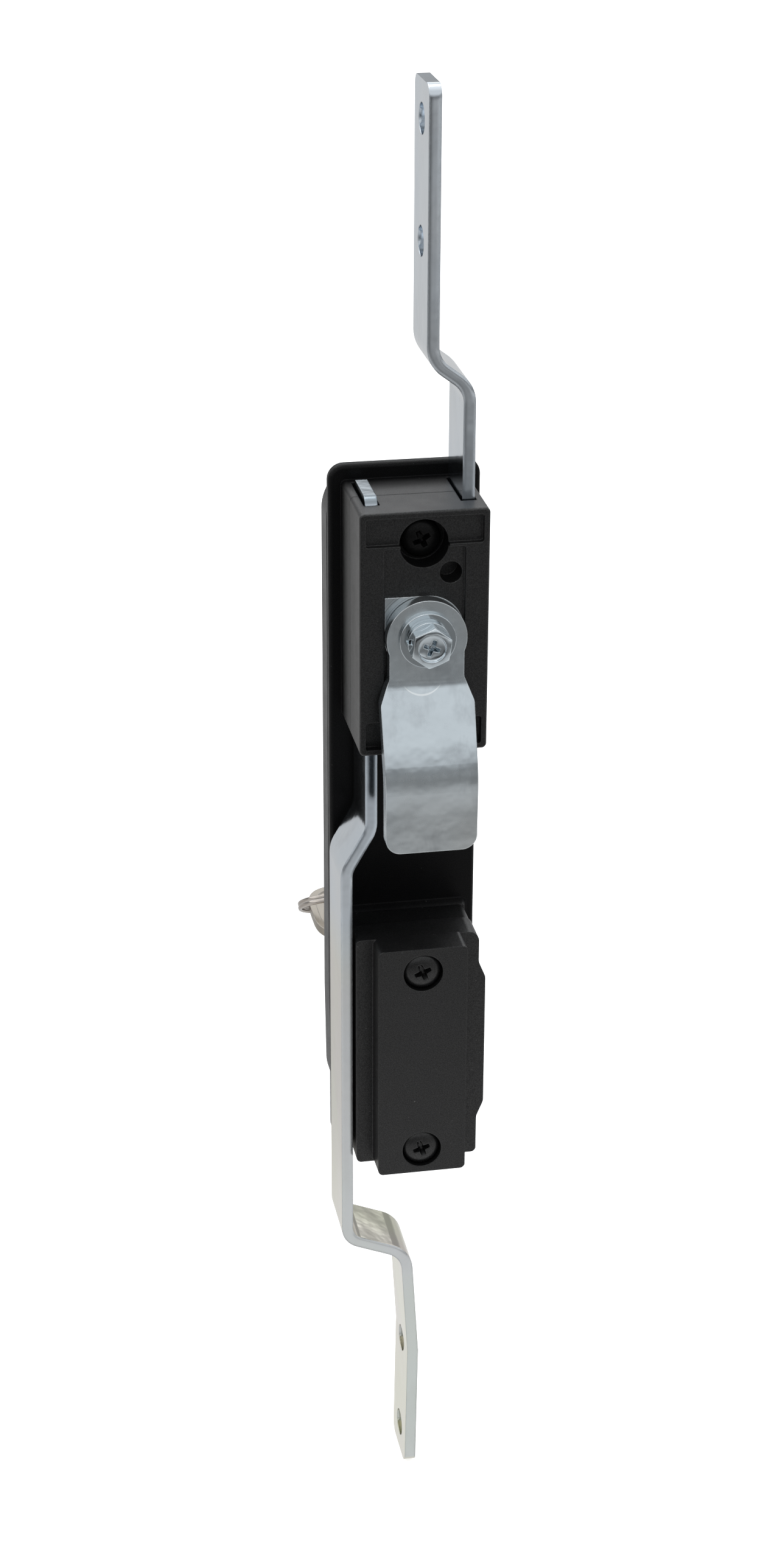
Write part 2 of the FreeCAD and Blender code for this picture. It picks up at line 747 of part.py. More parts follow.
def cross_recess(name, rear, height):
    """Two crossed bars to cut from a head whose rear face and height are given."""
    slots = []
    for axis, width, rise in (("a", "cross_length", "cross_width"), ("b", "cross_width", "cross_length")):
        slots.append(block(f"{name}{axis}", (width, "2 * cross_depth", rise),
                           (f"-{width} / 2", f"{rear} - cross_depth", f"{height} - {rise} / 2")))
    return slots


def make_screws(name, heights, head_seat):
    """Two pan-head screws along -Y whose heads seat at the given depth."""
    solids = []
    for number, height in enumerate(heights):
        head = rod_along("y", f"{name}Head{number}", "bracket_screw_head / 2", "screw_head_height",
                         ("0", head_seat, height))
        bevelled = chamfered(f"{name}Bevel{number}", head, v.screw_head_chamfer,
                             lambda edge: edge.BoundBox.YLength < 1e-6
                             and edge.BoundBox.YMin > head.Placement.Base.y + 1e-3)
        shank = rod_along("y", f"{name}Shank{number}", "screw_shank / 2",
                          f"{head_seat} - boss_depth + screw_depth",
                          ("0", "boss_depth - screw_depth", height))
        screw = fuse(f"{name}Blank{number}", bevelled, shank)
        cross = cross_recess(f"{name}Cross{number}", f"{head_seat} + screw_head_height", height)
        solids.append(cut(f"{name}Screw{number}", screw, *cross))
    group = doc.addObject("Part::Compound", name)
    group.Links = solids
    return group


# Pinion: the teeth of one pattern reach into the windows punched in both rods

def make_pinion():
    body = new_body("Pinion")
    bind(body, at_z="spindle_height")
    core = draw_circle(new_sketch("RootCircle", "XZ", body, "-pinion_front"), "0", "0",
                       "2 * pinion_root_radius")
    pad(body, "Core", core, "pinion_thickness")
    hub = draw_circle(new_sketch("HubCircle", "XZ", body, "-pinion_rear"), "0", "0", "journal")
    pad(body, "Hub", hub, "cam_front - pinion_rear")
    inner = v.pinion_root_radius - 1.0
    tip = v.pinion_tip_radius
    root = v.pinion_root_radius
    tooth = [(inner, -v.tooth_root_width / 2), (root, -v.tooth_root_width / 2),
             (tip, -v.tooth_tip_width / 2), (tip, v.tooth_tip_width / 2),
             (root, v.tooth_root_width / 2), (inner, v.tooth_root_width / 2)]
    single = outline_pad(body, "Tooth", corner_arcs(tooth, 0), "XZ", "-pinion_front",
                         "pinion_thickness")
    doc.recompute()
    teeth = body.newObject("PartDesign::PolarPattern", "Teeth")
    teeth.Originals = [single]
    axis = next(item for item in body.Origin.OriginFeatures if item.Role == "Y_Axis")
    teeth.Axis = (axis, [""])
    teeth.Angle = 360
    bind(teeth, Occurrences="pinion_teeth")
    body.Tip = teeth
    square = draw_rectangle(new_sketch("SquareOutline", "XZ", body, "-cam_front"), "square_hole",
                            "square_hole", "0")
    pocket(body, "SquareBore", square, "cam_front - pinion_front + 1")
    return label(body, "pinion")


# The rods are flat bars, bent on edge and punched with windows for the pinion

def window_heights(rod_side):
    """The middle of each window: one at the pinion, the rest on the side that the rod moves from."""
    pitch = 2 * math.pi * v.pinion_pitch_radius / v.pinion_teeth
    travel = v.pinion_pitch_radius * math.pi / 2
    return [v.spindle_height + rod_side * pitch * number for number in range(round(travel / pitch) + 1)]


def make_rod(name, piece, centres, bends, window_side, holes):
    """A bent flat bar with its drive windows and its two end holes."""
    body = new_body(name)
    corners, radii = strip_outline(centres, v.rod_thickness, bends)
    outline_pad(body, "Bar", corner_arcs(corners, radii), "XZ", "-rod_front", "rod_width")
    fillet(body, "EndRounds", "rod_corner", end_corners)
    windows = new_sketch("WindowOutlines", "YZ", body, "0")
    low = v.pinion_front - v.pinion_clearance
    high = v.pinion_rear + v.pinion_clearance
    half = v.window_length / 2
    for height in window_heights(window_side):
        draw(windows, corner_arcs([(low, height - half), (high, height - half),
                                   (high, height + half), (low, height + half)], 0))
    side = 1 if centres[-1][0] > 0 else -1
    through = body.newObject("PartDesign::Pocket", "Windows")
    through.Profile = windows
    through.Reversed = side > 0
    bind(through, Length="channel_outside + 2")
    bores = new_sketch("EndHoleCircles", "YZ", body, "0")
    for height in holes:
        draw_circle(bores, "rod_middle", height, "rod_hole")
    ends = body.newObject("PartDesign::Pocket", "EndHoles")
    ends.Profile = bores
    ends.Midplane = True
    bind(ends, Length="2 * (upper_end_offset + rod_thickness)")
    return label(body, piece)


def end_corners(shape):
    """The short edges across both ends of a bar."""
    highs = [v.spindle_height + v.rod_tail, v.spindle_height + v.upper_rod_reach,
             v.spindle_height - v.rod_tail, v.spindle_height - v.lower_rod_reach]
    names = []
    for number, edge in enumerate(shape.Edges, 1):
        box = edge.BoundBox
        if box.ZLength > 0.3 or abs(box.XLength - v.rod_thickness) > 0.3 or box.YLength > 1e-6:
            continue
        if min(abs(box.ZMin - height) for height in highs) < 0.3:
            names.append(f"Edge{number}")
    return names


def make_upper_rod():
    z, inner = v.spindle_height, -v.rod_centre
    outer = -v.upper_end_offset
    centres = [(inner, z - v.rod_tail), (inner, z + v.upper_jog_start),
               (outer, z + v.upper_jog_start + v.upper_jog_rise), (outer, z + v.upper_rod_reach)]
    top = "spindle_height + upper_rod_reach - upper_end_margin"
    bends = [0, v.rod_jog_radius, v.rod_jog_radius, 0]
    return make_rod("UpperRod", "upper_rod", centres, bends, 1, [top, f"{top} - rod_hole_pitch"])


def make_lower_rod():
    z = v.spindle_height
    side = v.lower_side_offset
    centres = [(v.rod_centre, z + v.rod_tail), (v.rod_centre, z - v.lower_jog_start),
               (side, z - v.lower_jog_start - v.lower_jog_drop), (side, z - v.lower_knee_drop),
               (v.lower_leg_offset, z - v.lower_knee_drop - v.lower_leg_fall),
               (v.lower_kink_offset, z - v.lower_kink_drop),
               (v.lower_end_offset, z - v.lower_rod_reach)]
    jog = v.rod_jog_radius
    bends = [0, jog, jog, v.rod_knee_radius, jog, jog, 0]
    foot = "spindle_height - lower_rod_reach + lower_end_margin"
    return make_rod("LowerRod", "lower_rod", centres[::-1], bends[::-1], -1,
                    [foot, f"{foot} + rod_hole_pitch"])


# Spindle, cam and what clamps it

def make_spindle():
    z = "spindle_height"
    half = "spindle_square / 2"
    journal = rod_along("y", "Journal", "journal / 2", "pinion_front - head_rear", ("0", "head_rear", z))
    square = block("SquareBar", ("spindle_square", "cam_rear - 0.3 - head_front - 1.5", "spindle_square"),
                   (f"-{half}", "head_front + 1.5", f"{z} - {half}"))
    blank = fuse("SpindleBlank", journal, square)
    tapped = rod_along("y", "TappedHole", "bolt_shank / 2 + thread_clearance", "bolt_grip + 3",
                       ("0", "cam_rear - bolt_grip - 1", z))
    return label(cut("SpindleBar", blank, tapped), "spindle")


def make_cam():
    z = v.spindle_height
    front, rear = v.cam_front, v.cam_rear
    middle = (front + rear) / 2
    profile = [(middle, z + v.cam_head), (middle, z - v.cam_bend_drop),
               (middle + v.cam_setback, z - v.cam_knee_drop),
               (middle + v.cam_setback, z - v.cam_reach - v.cam_corner)]
    corners, radii = strip_outline(profile, v.cam_thickness, [0, v.cam_bend_radius, v.cam_set_radius, 0])
    bent = draw(new_sketch("CamProfile", "YZ"), corner_arcs(corners, radii))
    sheet = extrude("CamStrip", bent, Vector(1, 0, 0), "2 * cam_width")
    half, foot, neck = v.cam_width / 2, v.cam_foot_width / 2, v.cam_neck_half_width
    blade = [(neck, z - v.cam_neck_drop), (half, z - v.cam_shoulder_drop), (foot, z - v.cam_reach),
             (-foot, z - v.cam_reach), (-half, z - v.cam_shoulder_drop), (-neck, z - v.cam_neck_drop),
             (-neck, z), (neck, z)]
    side = [v.cam_neck_radius, v.cam_shoulder_radius, v.cam_corner]
    shape = draw(new_sketch("CamBlade", "XZ"), corner_arcs(blade, side + side[::-1] + [0, 0]))
    plate = extrude("CamBladePlate", shape, Vector(0, 1, 0), "4 * gearbox_rear")
    round_head = rod_along("y", "CamHead", "cam_head / 2", "2 * cam_thickness",
                           ("0", "cam_front - cam_thickness / 2", "spindle_height"))
    outline = fuse("CamOutline", plate, round_head)
    formed = common("CamBlank", sheet, outline)
    hole = block("CamSquare", ("square_hole", "4 * cam_thickness", "square_hole"),
                 ("-square_hole / 2", "cam_front - cam_thickness", "spindle_height - square_hole / 2"))
    return label(cut("Cam", formed, hole), "cam")


def make_washers():
    z = "spindle_height"
    disc = rod_along("y", "WasherDisc", "washer_outside / 2", "washer_thickness", ("0", "cam_rear", z))
    hole = rod_along("y", "WasherHole", "bolt_shank / 2 + 0.15", "3 * washer_thickness",
                     ("0", "cam_rear - washer_thickness", z))
    label(cut("FlatWasher", disc, hole), "flat_washer")
    seat = "cam_rear + washer_thickness"
    ring = rod_along("y", "SpringDisc", "spring_washer_outside / 2", "spring_washer_thickness",
                     ("0", seat, z))
    bore = rod_along("y", "SpringHole", "bolt_shank / 2 + 0.1", "3 * spring_washer_thickness",
                     ("0", f"{seat} - spring_washer_thickness", z))
    gap = block("SpringGap", ("spring_washer_outside", "3 * spring_washer_thickness", "spring_washer_gap"),
                ("0.5", f"{seat} - spring_washer_thickness", z))
    return label(cut("SpringWasher", ring, bore, gap), "spring_washer")


def make_cam_bolt():
    z = "spindle_height"
    seat = "cam_rear + washer_thickness + spring_washer_thickness"
    head = prism_along_y("BoltHex", 6, "bolt_flats", "bolt_head_height", ("0", seat, z))
    crown = doc.addObject("Part::Cone", "BoltCrown")
    crown.Placement = Placement(Vector(), Rotation(Vector(1, 0, 0), -90))
    bind(crown, Radius1="bolt_flats / 2 + bolt_head_height * 1.9", Radius2="bolt_flats / 2",
         Height="bolt_head_height", at_y=seat, at_z=z)
    crowned = common("BoltHead", head, crown)
    dish = rod_along("y", "BoltDish", "bolt_head_dish / 2", "bolt_head_height",
                     ("0", f"{seat} + bolt_head_height - bolt_dish_depth", z))
    cross = cross_recess("BoltCross", f"{seat} + bolt_head_height - bolt_dish_depth", z)
    shank = rod_along("y", "BoltShank", "bolt_shank / 2", f"{seat} - cam_rear + bolt_grip",
                      ("0", "cam_rear - bolt_grip", z))
    headed = cut("BoltRecessed", crowned, dish, *cross)
    return label(fuse("CamBolt", headed, shank), "cam_bolt")


# Handle and its hinge

def side_profile(name, points, radii):
    return draw(new_sketch(name, "YZ"), corner_arcs(points, radii))


def crowned_section(name, half, rear, side, crown):
    """A section across the handle: straight sides and an arched front."""
    curves = [Part.LineSegment(Vector(-half, rear, 0), Vector(-half, side, 0)),
              Part.Arc(Vector(-half, side, 0), Vector(0, crown, 0), Vector(half, side, 0)),
              Part.LineSegment(Vector(half, side, 0), Vector(half, rear, 0)),
              Part.LineSegment(Vector(half, rear, 0), Vector(-half, rear, 0))]
    return draw(new_sketch(name, "XY"), curves)


def handle_form(name, shrink, rear):
    """The handle's outer form, or the same form shrunk by its wall."""
    section = crowned_section(f"{name}Section", v.flange_width / 2 - shrink, rear,
                              v.handle_side_front + shrink * 0.6, v.handle_front + shrink)
    along = extrude(f"{name}Length", section, Vector(0, 0, 1), "4 * flange_length")
    half = v.flange_width / 2 - shrink
    narrow = half - v.handle_taper
    foot = v.handle_foot + shrink
    top = v.hinge_z + v.hinge_lug + v.hinge_lug_clearance if shrink else v.handle_top
    taper_z = v.spindle_height - v.handle_taper_start
    corners = [(narrow, foot), (half, taper_z), (half, top), (-half, top), (-half, taper_z),
               (-narrow, foot)]
    side_radii = [v.handle_foot_radius - shrink, v.handle_taper_radius,
                  v.handle_top_radius - shrink * 2]
    radii = side_radii + side_radii[::-1]
    outline = draw(new_sketch(f"{name}Outline", "XZ"), corner_arcs(corners, radii))
    front = extrude(f"{name}Face", outline, Vector(0, 1, 0), "8 * handle_depth")
    reach = top - v.hinge_z
    front_y = v.handle_front + shrink
    knuckle_y = v.hinge_y + reach
    front_round = v.handle_front_radius - shrink
    if shrink:
        side = [(rear, foot), (rear, v.hinge_z), (knuckle_y, v.hinge_z), (knuckle_y, top),
                (front_y, top), (front_y, foot)]
        rounds = [0, 0, 0, reach - 1e-3, front_round, front_round]
    else:
        side = [(rear, foot), (rear, top), (front_y, top), (front_y, foot)]
        rounds = [0, reach - 1e-3, front_round, front_round]
    profile = side_profile(f"{name}Profile", side, rounds)
    across = extrude(f"{name}Width", profile, Vector(1, 0, 0), "2 * flange_width")
    return common(name, along, front, across)


def make_handle():
    outer = handle_form("HandleOuter", 0, v.handle_rear)
    inner = handle_form("HandleInner", v.handle_wall, v.handle_rear + 4)
    shell = cut("HandleShell", outer, inner)
    boss = rod_along("y", "LockBoss", "lock_boss / 2", "lock_boss_seat", ("0", "lock_boss_front", "lock_z"))
    body = fuse("HandleBody", shell, boss)
    lock_hole = rod_along("y", "LockHole", "lock_barrel / 2 + lock_barrel_clearance",
                          "2 * handle_depth", ("0", "lock_boss_front - handle_depth", "lock_z"))
    pin_hole = rod_along("x", "PinHole", "hinge_pin / 2 + hinge_clearance",
                         "1.5 * flange_width - hinge_pin_inset", ("-flange_width", "hinge_y", "hinge_z"))
    grow = "2 * deadbolt_clearance"
    slot = block("DeadboltSlot",
                 (f"deadbolt_width + {grow}", f"deadbolt_thickness + {grow}", "4 * handle_wall"),
                 (f"-(deadbolt_width + {grow}) / 2", "deadbolt_front - deadbolt_clearance",
                  "handle_foot - 2 * handle_wall"))
    return label(cut("Handle", body, lock_hole, pin_hole, slot), "handle")


def make_swivel_head():
    """The head that the handle hangs on: wide shoulders below a narrow hinge lug."""
    foot = v.spindle_height - v.head_drop
    lug = v.hinge_lug
    shoulder = v.hinge_z - v.head_slope_drop
    points = [(v.head_rear, foot), (v.head_rear, shoulder - v.head_slope), (v.hinge_y + lug, shoulder),
              (v.head_front, shoulder), (v.head_front, foot)]
    wide = extrude("HeadShoulders", side_profile("HeadProfile", points, [0, 0.5, 0.5, 1.0, 1.5]),
                   Vector(1, 0, 0), "2 * (handle_inside - head_side_gap)")
    low = shoulder - v.head_slope
    top = v.hinge_z + lug
    knuckle = [(v.hinge_y + lug, low), (v.hinge_y + lug, top), (v.head_front, top), (v.head_front, low)]
    narrow = extrude("HeadLug", side_profile("LugProfile", knuckle, [0, lug - 1e-3, lug - 1e-3, 0]),
                     Vector(1, 0, 0), "hinge_lug_width")
    blank = fuse("HeadBlank", wide, narrow)
    arch = crowned_section("HeadSection", v.handle_inside - v.head_side_gap, v.head_rear + 1,
                           v.handle_side_front + v.handle_wall, v.head_front)
    crown = extrude("HeadCrown", arch, Vector(0, 0, 1), "8 * flange_width")
    square = block("HeadSquare", ("square_hole", "20", "square_hole"),
                   ("-square_hole / 2", "head_front + 1.4", "spindle_height - square_hole / 2"))
    pin_hole = rod_along("x", "HeadPinHole", "hinge_pin / 2 + hinge_clearance", "2 * flange_width",
                         ("-flange_width", "hinge_y", "hinge_z"))
    return label(cut("SwivelHead", common("HeadForm", blank, crown), square, pin_hole), "swivel_head")


def make_hinge_pin():
    pin = rod_along("x", "HingePin", "hinge_pin / 2", "flange_width - 2 * hinge_pin_inset",
                    ("-flange_width / 2 + hinge_pin_inset", "hinge_y", "hinge_z"))
    return label(pin, "hinge_pin")


# Key lock in the handle, with its deadbolt, key and ring

def make_lock_barrel():
    barrel = rod_along("y", "Barrel", "lock_barrel / 2", "barrel_rear - lock_boss_front",
                       ("0", "lock_boss_front", "lock_z"))
    bezel = rod_along("y", "Bezel", "lock_bezel / 2", "lock_bezel_thickness",
                      ("0", "lock_boss_front - lock_bezel_thickness", "lock_z"))
    soft = chamfered("BezelBevel", bezel, v.lock_bezel_chamfer, lambda edge: edge.BoundBox.YLength < 1e-6
                     and edge.BoundBox.YMax < bezel.Placement.Base.y + 1e-3)
    bore = rod_along("y", "PlugBore", "plug / 2 + plug_clearance", "3 * handle_depth",
                     ("0", "lock_boss_front - handle_depth", "lock_z"))
    label(cut("LockBarrel", fuse("BarrelBlank", barrel, soft), bore), "lock_barrel")
    nut = rod_along("y", "NutRound", "lock_nut / 2", "lock_nut_thickness", ("0", "lock_boss_rear", "lock_z"))
    hole = rod_along("y", "NutHole", "lock_barrel / 2 + thread_clearance", "handle_depth",
                     ("0", "lock_boss_rear - 1", "lock_z"))
    return label(cut("LockNut", nut, hole), "lock_nut")


def make_plug():
    length = "plug_rear - plug_front"
    cylinder = rod_along("y", "PlugCylinder", "plug / 2", length, ("0", "plug_front", "lock_z"))
    pin = rod_along("y", "DrivePin", "drive_pin / 2", "deadbolt_rear - plug_rear - 0.2",
                    ("drive_pin_radius", "plug_rear", "lock_z"))
    width = "key_blade_width + 2 * key_clearance"
    thick = "key_thickness + 2 * key_clearance"
    keyway = block("Keyway", (width, "key_blade_depth + key_clearance + plug_proud", thick),
                   (f"-({width}) / 2", "plug_front - plug_proud", f"lock_z - ({thick}) / 2"))
    return label(fuse("LockPlug", cut("PlugCut", cylinder, keyway), pin), "lock_plug")


def make_deadbolt():
    bar = block("DeadboltBar",
                ("deadbolt_width", "deadbolt_thickness", "lock_z + deadbolt_tail - handle_foot"),
                ("-deadbolt_width / 2", "deadbolt_front", "handle_foot"))
    slot = block("DriveSlot", ("deadbolt_width", "3 * deadbolt_thickness", "deadbolt_slot"),
                 ("-drive_pin", "deadbolt_front - deadbolt_thickness",
                  "lock_z - deadbolt_slot / 2"))
    return label(cut("Deadbolt", bar, slot), "deadbolt")


def make_cover():
    """The sheet that closes the handle's hollow over the deadbolt."""
    half = v.handle_inside - v.handle_taper - v.cover_clearance
    foot, top = v.handle_foot + v.handle_wall + v.cover_clearance, v.lock_z + v.cover_above_lock
    radius = v.handle_foot_radius - v.handle_wall
    outline = draw(new_sketch("CoverOutline", "XZ"), corner_arcs(
        [(half, foot), (half, top), (-half, top), (-half, foot)], [radius, 0, 0, radius]))
    bind(outline, at_y="handle_rear - cover_thickness / 2")
    return label(extrude("BoltCover", outline, Vector(0, 1, 0), "cover_thickness"), "bolt_cover")


def make_key():
    """A flat key with a broad bow; it lies level in the plug."""
    half = v.key_blade_width / 2
    tip = v.plug_front + v.key_blade_depth
    neck = v.key_front
    bow = v.key_bow_width / 2
    far = neck - v.key_bow_length
    near = neck - v.key_bow_slope
    points = [(half, tip), (half, neck), (bow, near), (bow, far), (-bow, far), (-bow, near),
              (-half, neck), (-half, tip)]
    side = [v.key_tip_radius, v.key_neck_radius, v.key_bow_near_radius, v.key_bow_far_radius]
    outline = draw(new_sketch("KeyOutline", "XY"), corner_arcs(points, side + side[::-1]))
    bind(outline, at_z="lock_z")
    flat = extrude("KeyFlat", outline, Vector(0, 0, 1), "key_thickness")
    eye = rod_along("z", "KeyEye", "key_eye / 2", "3 * key_thickness",
                    ("0", "key_front - key_bow_length + key_eye_margin + key_eye / 2",
                     "lock_z - 1.5 * key_thickness"))
    return label(cut("Key", flat, eye), "key")


def make_ring():
    """Two closed turns of flat wire side by side, through the key's eye and round the bow's edge."""
    outside, inside = v.ring_outside / 2, v.ring_outside / 2 - v.ring_wire
    height, cut_off = v.ring_turn_height, v.ring_chamfer
    section = [(inside + cut_off, -height), (outside - cut_off, -height), (outside, cut_off - height),
               (outside, -cut_off), (outside - cut_off, 0), (outside, cut_off),
               (outside, height - cut_off), (outside - cut_off, height), (inside + cut_off, height),
               (inside, height - cut_off), (inside, cut_off - height)]
    ring = doc.addObject("Part::Revolution", "Ring")
    ring.Source = draw(new_sketch("RingSection", "XZ"), corner_arcs(section, 0))
    ring.Axis = Vector(0, 0, 1)
    ring.Angle = 360
    ring.Solid = True
    eye_y = v.key_front - v.key_bow_length + v.key_eye_margin + v.key_eye / 2
    ring.Placement = Placement(Vector(outside - v.ring_wire / 2, eye_y, v.lock_z),
                               Rotation(Vector(1, 0, 0), v.ring_slope))
    return label(ring, "key_ring")


make_dish()
make_gearbox()
make_stop_plate()
make_bracket()
label(make_screws("GearboxScrews", screw_heights()[:2],
                  "gearbox_rear - gearbox_counterbore_depth"), "gearbox_screws")
label(make_screws("BracketScrews", screw_heights()[2:],
                  "bracket_rear - screw_head_height - screw_head_sunk"), "bracket_screws")
make_pinion()
make_upper_rod()
make_lower_rod()
make_spindle()
make_cam()
make_washers()
make_cam_bolt()
make_handle()
make_swivel_head()
make_hinge_pin()
make_lock_barrel()
make_plug()
make_deadbolt()
make_cover()
make_key()
make_ring()

doc.recompute()
for item in doc.Objects:
    if "Invalid" in item.State or "Error" in item.State:
        raise RuntimeError(f"{item.Name} ({item.Label}) failed: {item.State}")
os.makedirs("parts", exist_ok=True)
for piece in PIECES:
    if piece.Shape.isNull() or not piece.Shape.isValid():
        raise RuntimeError(f"{piece.Label} has no valid shape")
    print(f"{piece.Label}: {len(piece.Shape.Solids)} solid, {piece.Shape.Volume:.1f} mm3")
    piece.Shape.exportStep(f"parts/{piece.Label}.step")
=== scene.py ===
import json
import math

import bmesh
import bpy
from mathutils import Matrix, Vector


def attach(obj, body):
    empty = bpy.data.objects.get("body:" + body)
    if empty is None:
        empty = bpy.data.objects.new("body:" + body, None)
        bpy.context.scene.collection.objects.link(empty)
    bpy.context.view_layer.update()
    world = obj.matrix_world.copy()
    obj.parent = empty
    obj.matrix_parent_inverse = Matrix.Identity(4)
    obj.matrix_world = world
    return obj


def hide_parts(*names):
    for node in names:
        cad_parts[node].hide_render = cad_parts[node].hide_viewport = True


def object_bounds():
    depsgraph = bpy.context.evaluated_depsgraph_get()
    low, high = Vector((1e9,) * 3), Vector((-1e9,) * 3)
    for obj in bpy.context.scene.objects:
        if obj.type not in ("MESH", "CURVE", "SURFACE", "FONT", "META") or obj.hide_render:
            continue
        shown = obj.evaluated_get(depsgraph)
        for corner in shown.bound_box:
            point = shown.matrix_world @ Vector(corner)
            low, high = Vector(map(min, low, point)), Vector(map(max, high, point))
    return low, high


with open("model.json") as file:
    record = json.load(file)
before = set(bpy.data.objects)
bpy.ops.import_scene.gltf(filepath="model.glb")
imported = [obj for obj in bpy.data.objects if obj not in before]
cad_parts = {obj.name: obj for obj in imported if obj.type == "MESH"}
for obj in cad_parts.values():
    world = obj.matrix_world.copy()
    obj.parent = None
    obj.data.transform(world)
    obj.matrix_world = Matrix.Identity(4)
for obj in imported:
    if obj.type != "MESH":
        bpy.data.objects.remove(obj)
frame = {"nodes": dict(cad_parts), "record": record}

CAD_BOX = [list(corner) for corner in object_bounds()]
MM = 0.001

# Heights on the gearbox, in millimetres
SPINDLE_HEIGHT, UPPER_SCREW_HEIGHT, LOWER_SCREW_HEIGHT = 50.0, 70.0, 30.0


def link_object(name, data):
    """An object at the origin for a mesh, curve, lamp or camera."""
    item = bpy.data.objects.new(name, data)
    bpy.context.collection.objects.link(item)
    return item


# Camera: the photo's view, from behind the door, a little above and to the left

def make_camera():
    """The camera at its fitted angle, distance and focal length."""
    yaw, pitch, roll = 0.1843, 0.4251, 0.0040
    distance, focal_length, sensor_height = 0.62518, 66.03, 36
    target = Vector((0.0069, 0.023376, 0.0155345))
    back = Vector((math.sin(yaw) * math.cos(pitch), math.cos(yaw) * math.cos(pitch), math.sin(pitch)))
    level = Vector((-math.cos(yaw), math.sin(yaw), 0))
    upright = back.cross(level)
    right = level * math.cos(roll) + upright * math.sin(roll)
    up = upright * math.cos(roll) - level * math.sin(roll)
    data = bpy.data.cameras.new("photo_camera")
    data.sensor_fit = "VERTICAL"
    data.sensor_height = sensor_height
    data.lens = focal_length
    data.clip_start = 0.01
    camera = link_object("photo_camera", data)
    turn = Matrix((right, up, back)).transposed().to_4x4()
    camera.matrix_world = Matrix.Translation(target + back * distance) @ turn
    bpy.context.scene.camera = camera


make_camera()


# Node helpers

def add(tree, kind, **settings):
    """A node with its properties set; keys that name inputs set their defaults."""
    node = tree.nodes.new(kind)
    for key, value in settings.items():
        if hasattr(node, key):
            setattr(node, key, value)
        else:
            node.inputs[key.replace("_", " ")].default_value = value
    return node


def join(tree, *pairs):
    for source, target in pairs:
        tree.links.new(source, target)


def shader_group(name, inputs, outputs):
    """A shader node group with the given inputs (name: default) and outputs (name: socket type)."""
    group = bpy.data.node_groups.new(name, "ShaderNodeTree")
    for title, default in inputs.items():
        kind = "NodeSocketVector" if isinstance(default, tuple) else "NodeSocketFloat"
        socket = group.interface.new_socket(title, in_out="INPUT", socket_type=kind)
        socket.default_value = default
    for title, kind in outputs.items():
        group.interface.new_socket(title, in_out="OUTPUT", socket_type=f"NodeSocket{kind}")
    return group, group.nodes.new("NodeGroupInput").outputs, group.nodes.new("NodeGroupOutput").inputs


def geometry_group(name, inputs, output):
    """A geometry node group with the given inputs (name: socket type) and its one output."""
    group = bpy.data.node_groups.new(name, "GeometryNodeTree")
    for title, kind in inputs.items():
        group.interface.new_socket(title, in_out="INPUT", socket_type=f"NodeSocket{kind}")
    group.interface.new_socket(output, in_out="OUTPUT", socket_type="NodeSocketGeometry")
    return group, group.nodes.new("NodeGroupInput").outputs, group.nodes.new("NodeGroupOutput").inputs


def math_node(tree, operation, first, second=0.0, clamp=False):
    node = tree.nodes.new("ShaderNodeMath")
    node.operation = operation
    node.use_clamp = clamp
    for index, value in enumerate((first, second)):
        if isinstance(value, (int, float)):
            node.inputs[index].default_value = value
        else:
            tree.links.new(value, node.inputs[index])
    return node.outputs[0]


def mix_colour(tree, factor, first, second):
    node = tree.nodes.new("ShaderNodeMix")
    node.data_type = "RGBA"
    for socket, value in ((node.inputs[0], factor), (node.inputs[6], first), (node.inputs[7], second)):
        if isinstance(value, tuple):
            socket.default_value = value
        else:
            tree.links.new(value, socket)
    return node.outputs[2]


def lay(tree, base, mask, colour, share):
    """A colour over a base where the mask is, by the given share."""
    return mix_colour(tree, math_node(tree, "MULTIPLY", mask, share), base, colour)


def noise(tree, place, scale, detail=3.0, roughness=0.5, stretch=None):
    """Noise on the given place, optionally stretched along an axis."""
    if stretch:
        turned = tree.nodes.new("ShaderNodeMapping")
        turned.inputs["Scale"].default_value = stretch
        tree.links.new(place, turned.inputs["Vector"])
        place = turned.outputs[0]
    node = add(tree, "ShaderNodeTexNoise", Scale=scale, Detail=detail, Roughness=roughness)
    tree.links.new(place, node.inputs["Vector"])
    return node.outputs["Fac"]


def ramp(tree, factor, low, high, start=0.0, end=1.0, **settings):
    """The start value below low, the end value above high, straight between."""
    node = add(tree, "ShaderNodeMapRange", From_Min=low, From_Max=high, To_Min=start, To_Max=end,
               **settings)
    tree.links.new(factor, node.inputs["Value"])
    return node.outputs[0]


def patches(tree, place, low, high, **grain):
    """Noise cut to patches: 0 where it is below low, 1 where it is above high."""
    return ramp(tree, noise(tree, place, **grain), low, high)


def coordinate(tree, place, axis):
    """The X, Y or Z of a place."""
    parts = tree.nodes.new("ShaderNodeSeparateXYZ")
    tree.links.new(place, parts.inputs[0])
    return parts.outputs[axis]


def axis_band(tree, place, axis, middle, half):
    """1 within a narrow band across an axis."""
    away = math_node(tree, "SUBTRACT", coordinate(tree, place, axis), middle)
    return ramp(tree, math_node(tree, "ABSOLUTE", away), half * 1.5, half * 0.5)


def distance_from(tree, place, middle):
    """The distance from a point (x, z), as seen along Y."""
    away = add(tree, "ShaderNodeVectorMath", operation="DISTANCE")
    flat = add(tree, "ShaderNodeVectorMath", operation="MULTIPLY")
    flat.inputs[1].default_value = (1, 0, 1)
    away.inputs[1].default_value = (middle[0], 0, middle[1])
    join(tree, (place, flat.inputs[0]), (flat.outputs[0], away.inputs[0]))
    return away.outputs["Value"]


def disc_mask(tree, place, middle, radius, soft):
    """1 inside a disc round (x, z), as seen along Y, with a soft rim."""
    return ramp(tree, distance_from(tree, place, middle), radius + soft, radius)


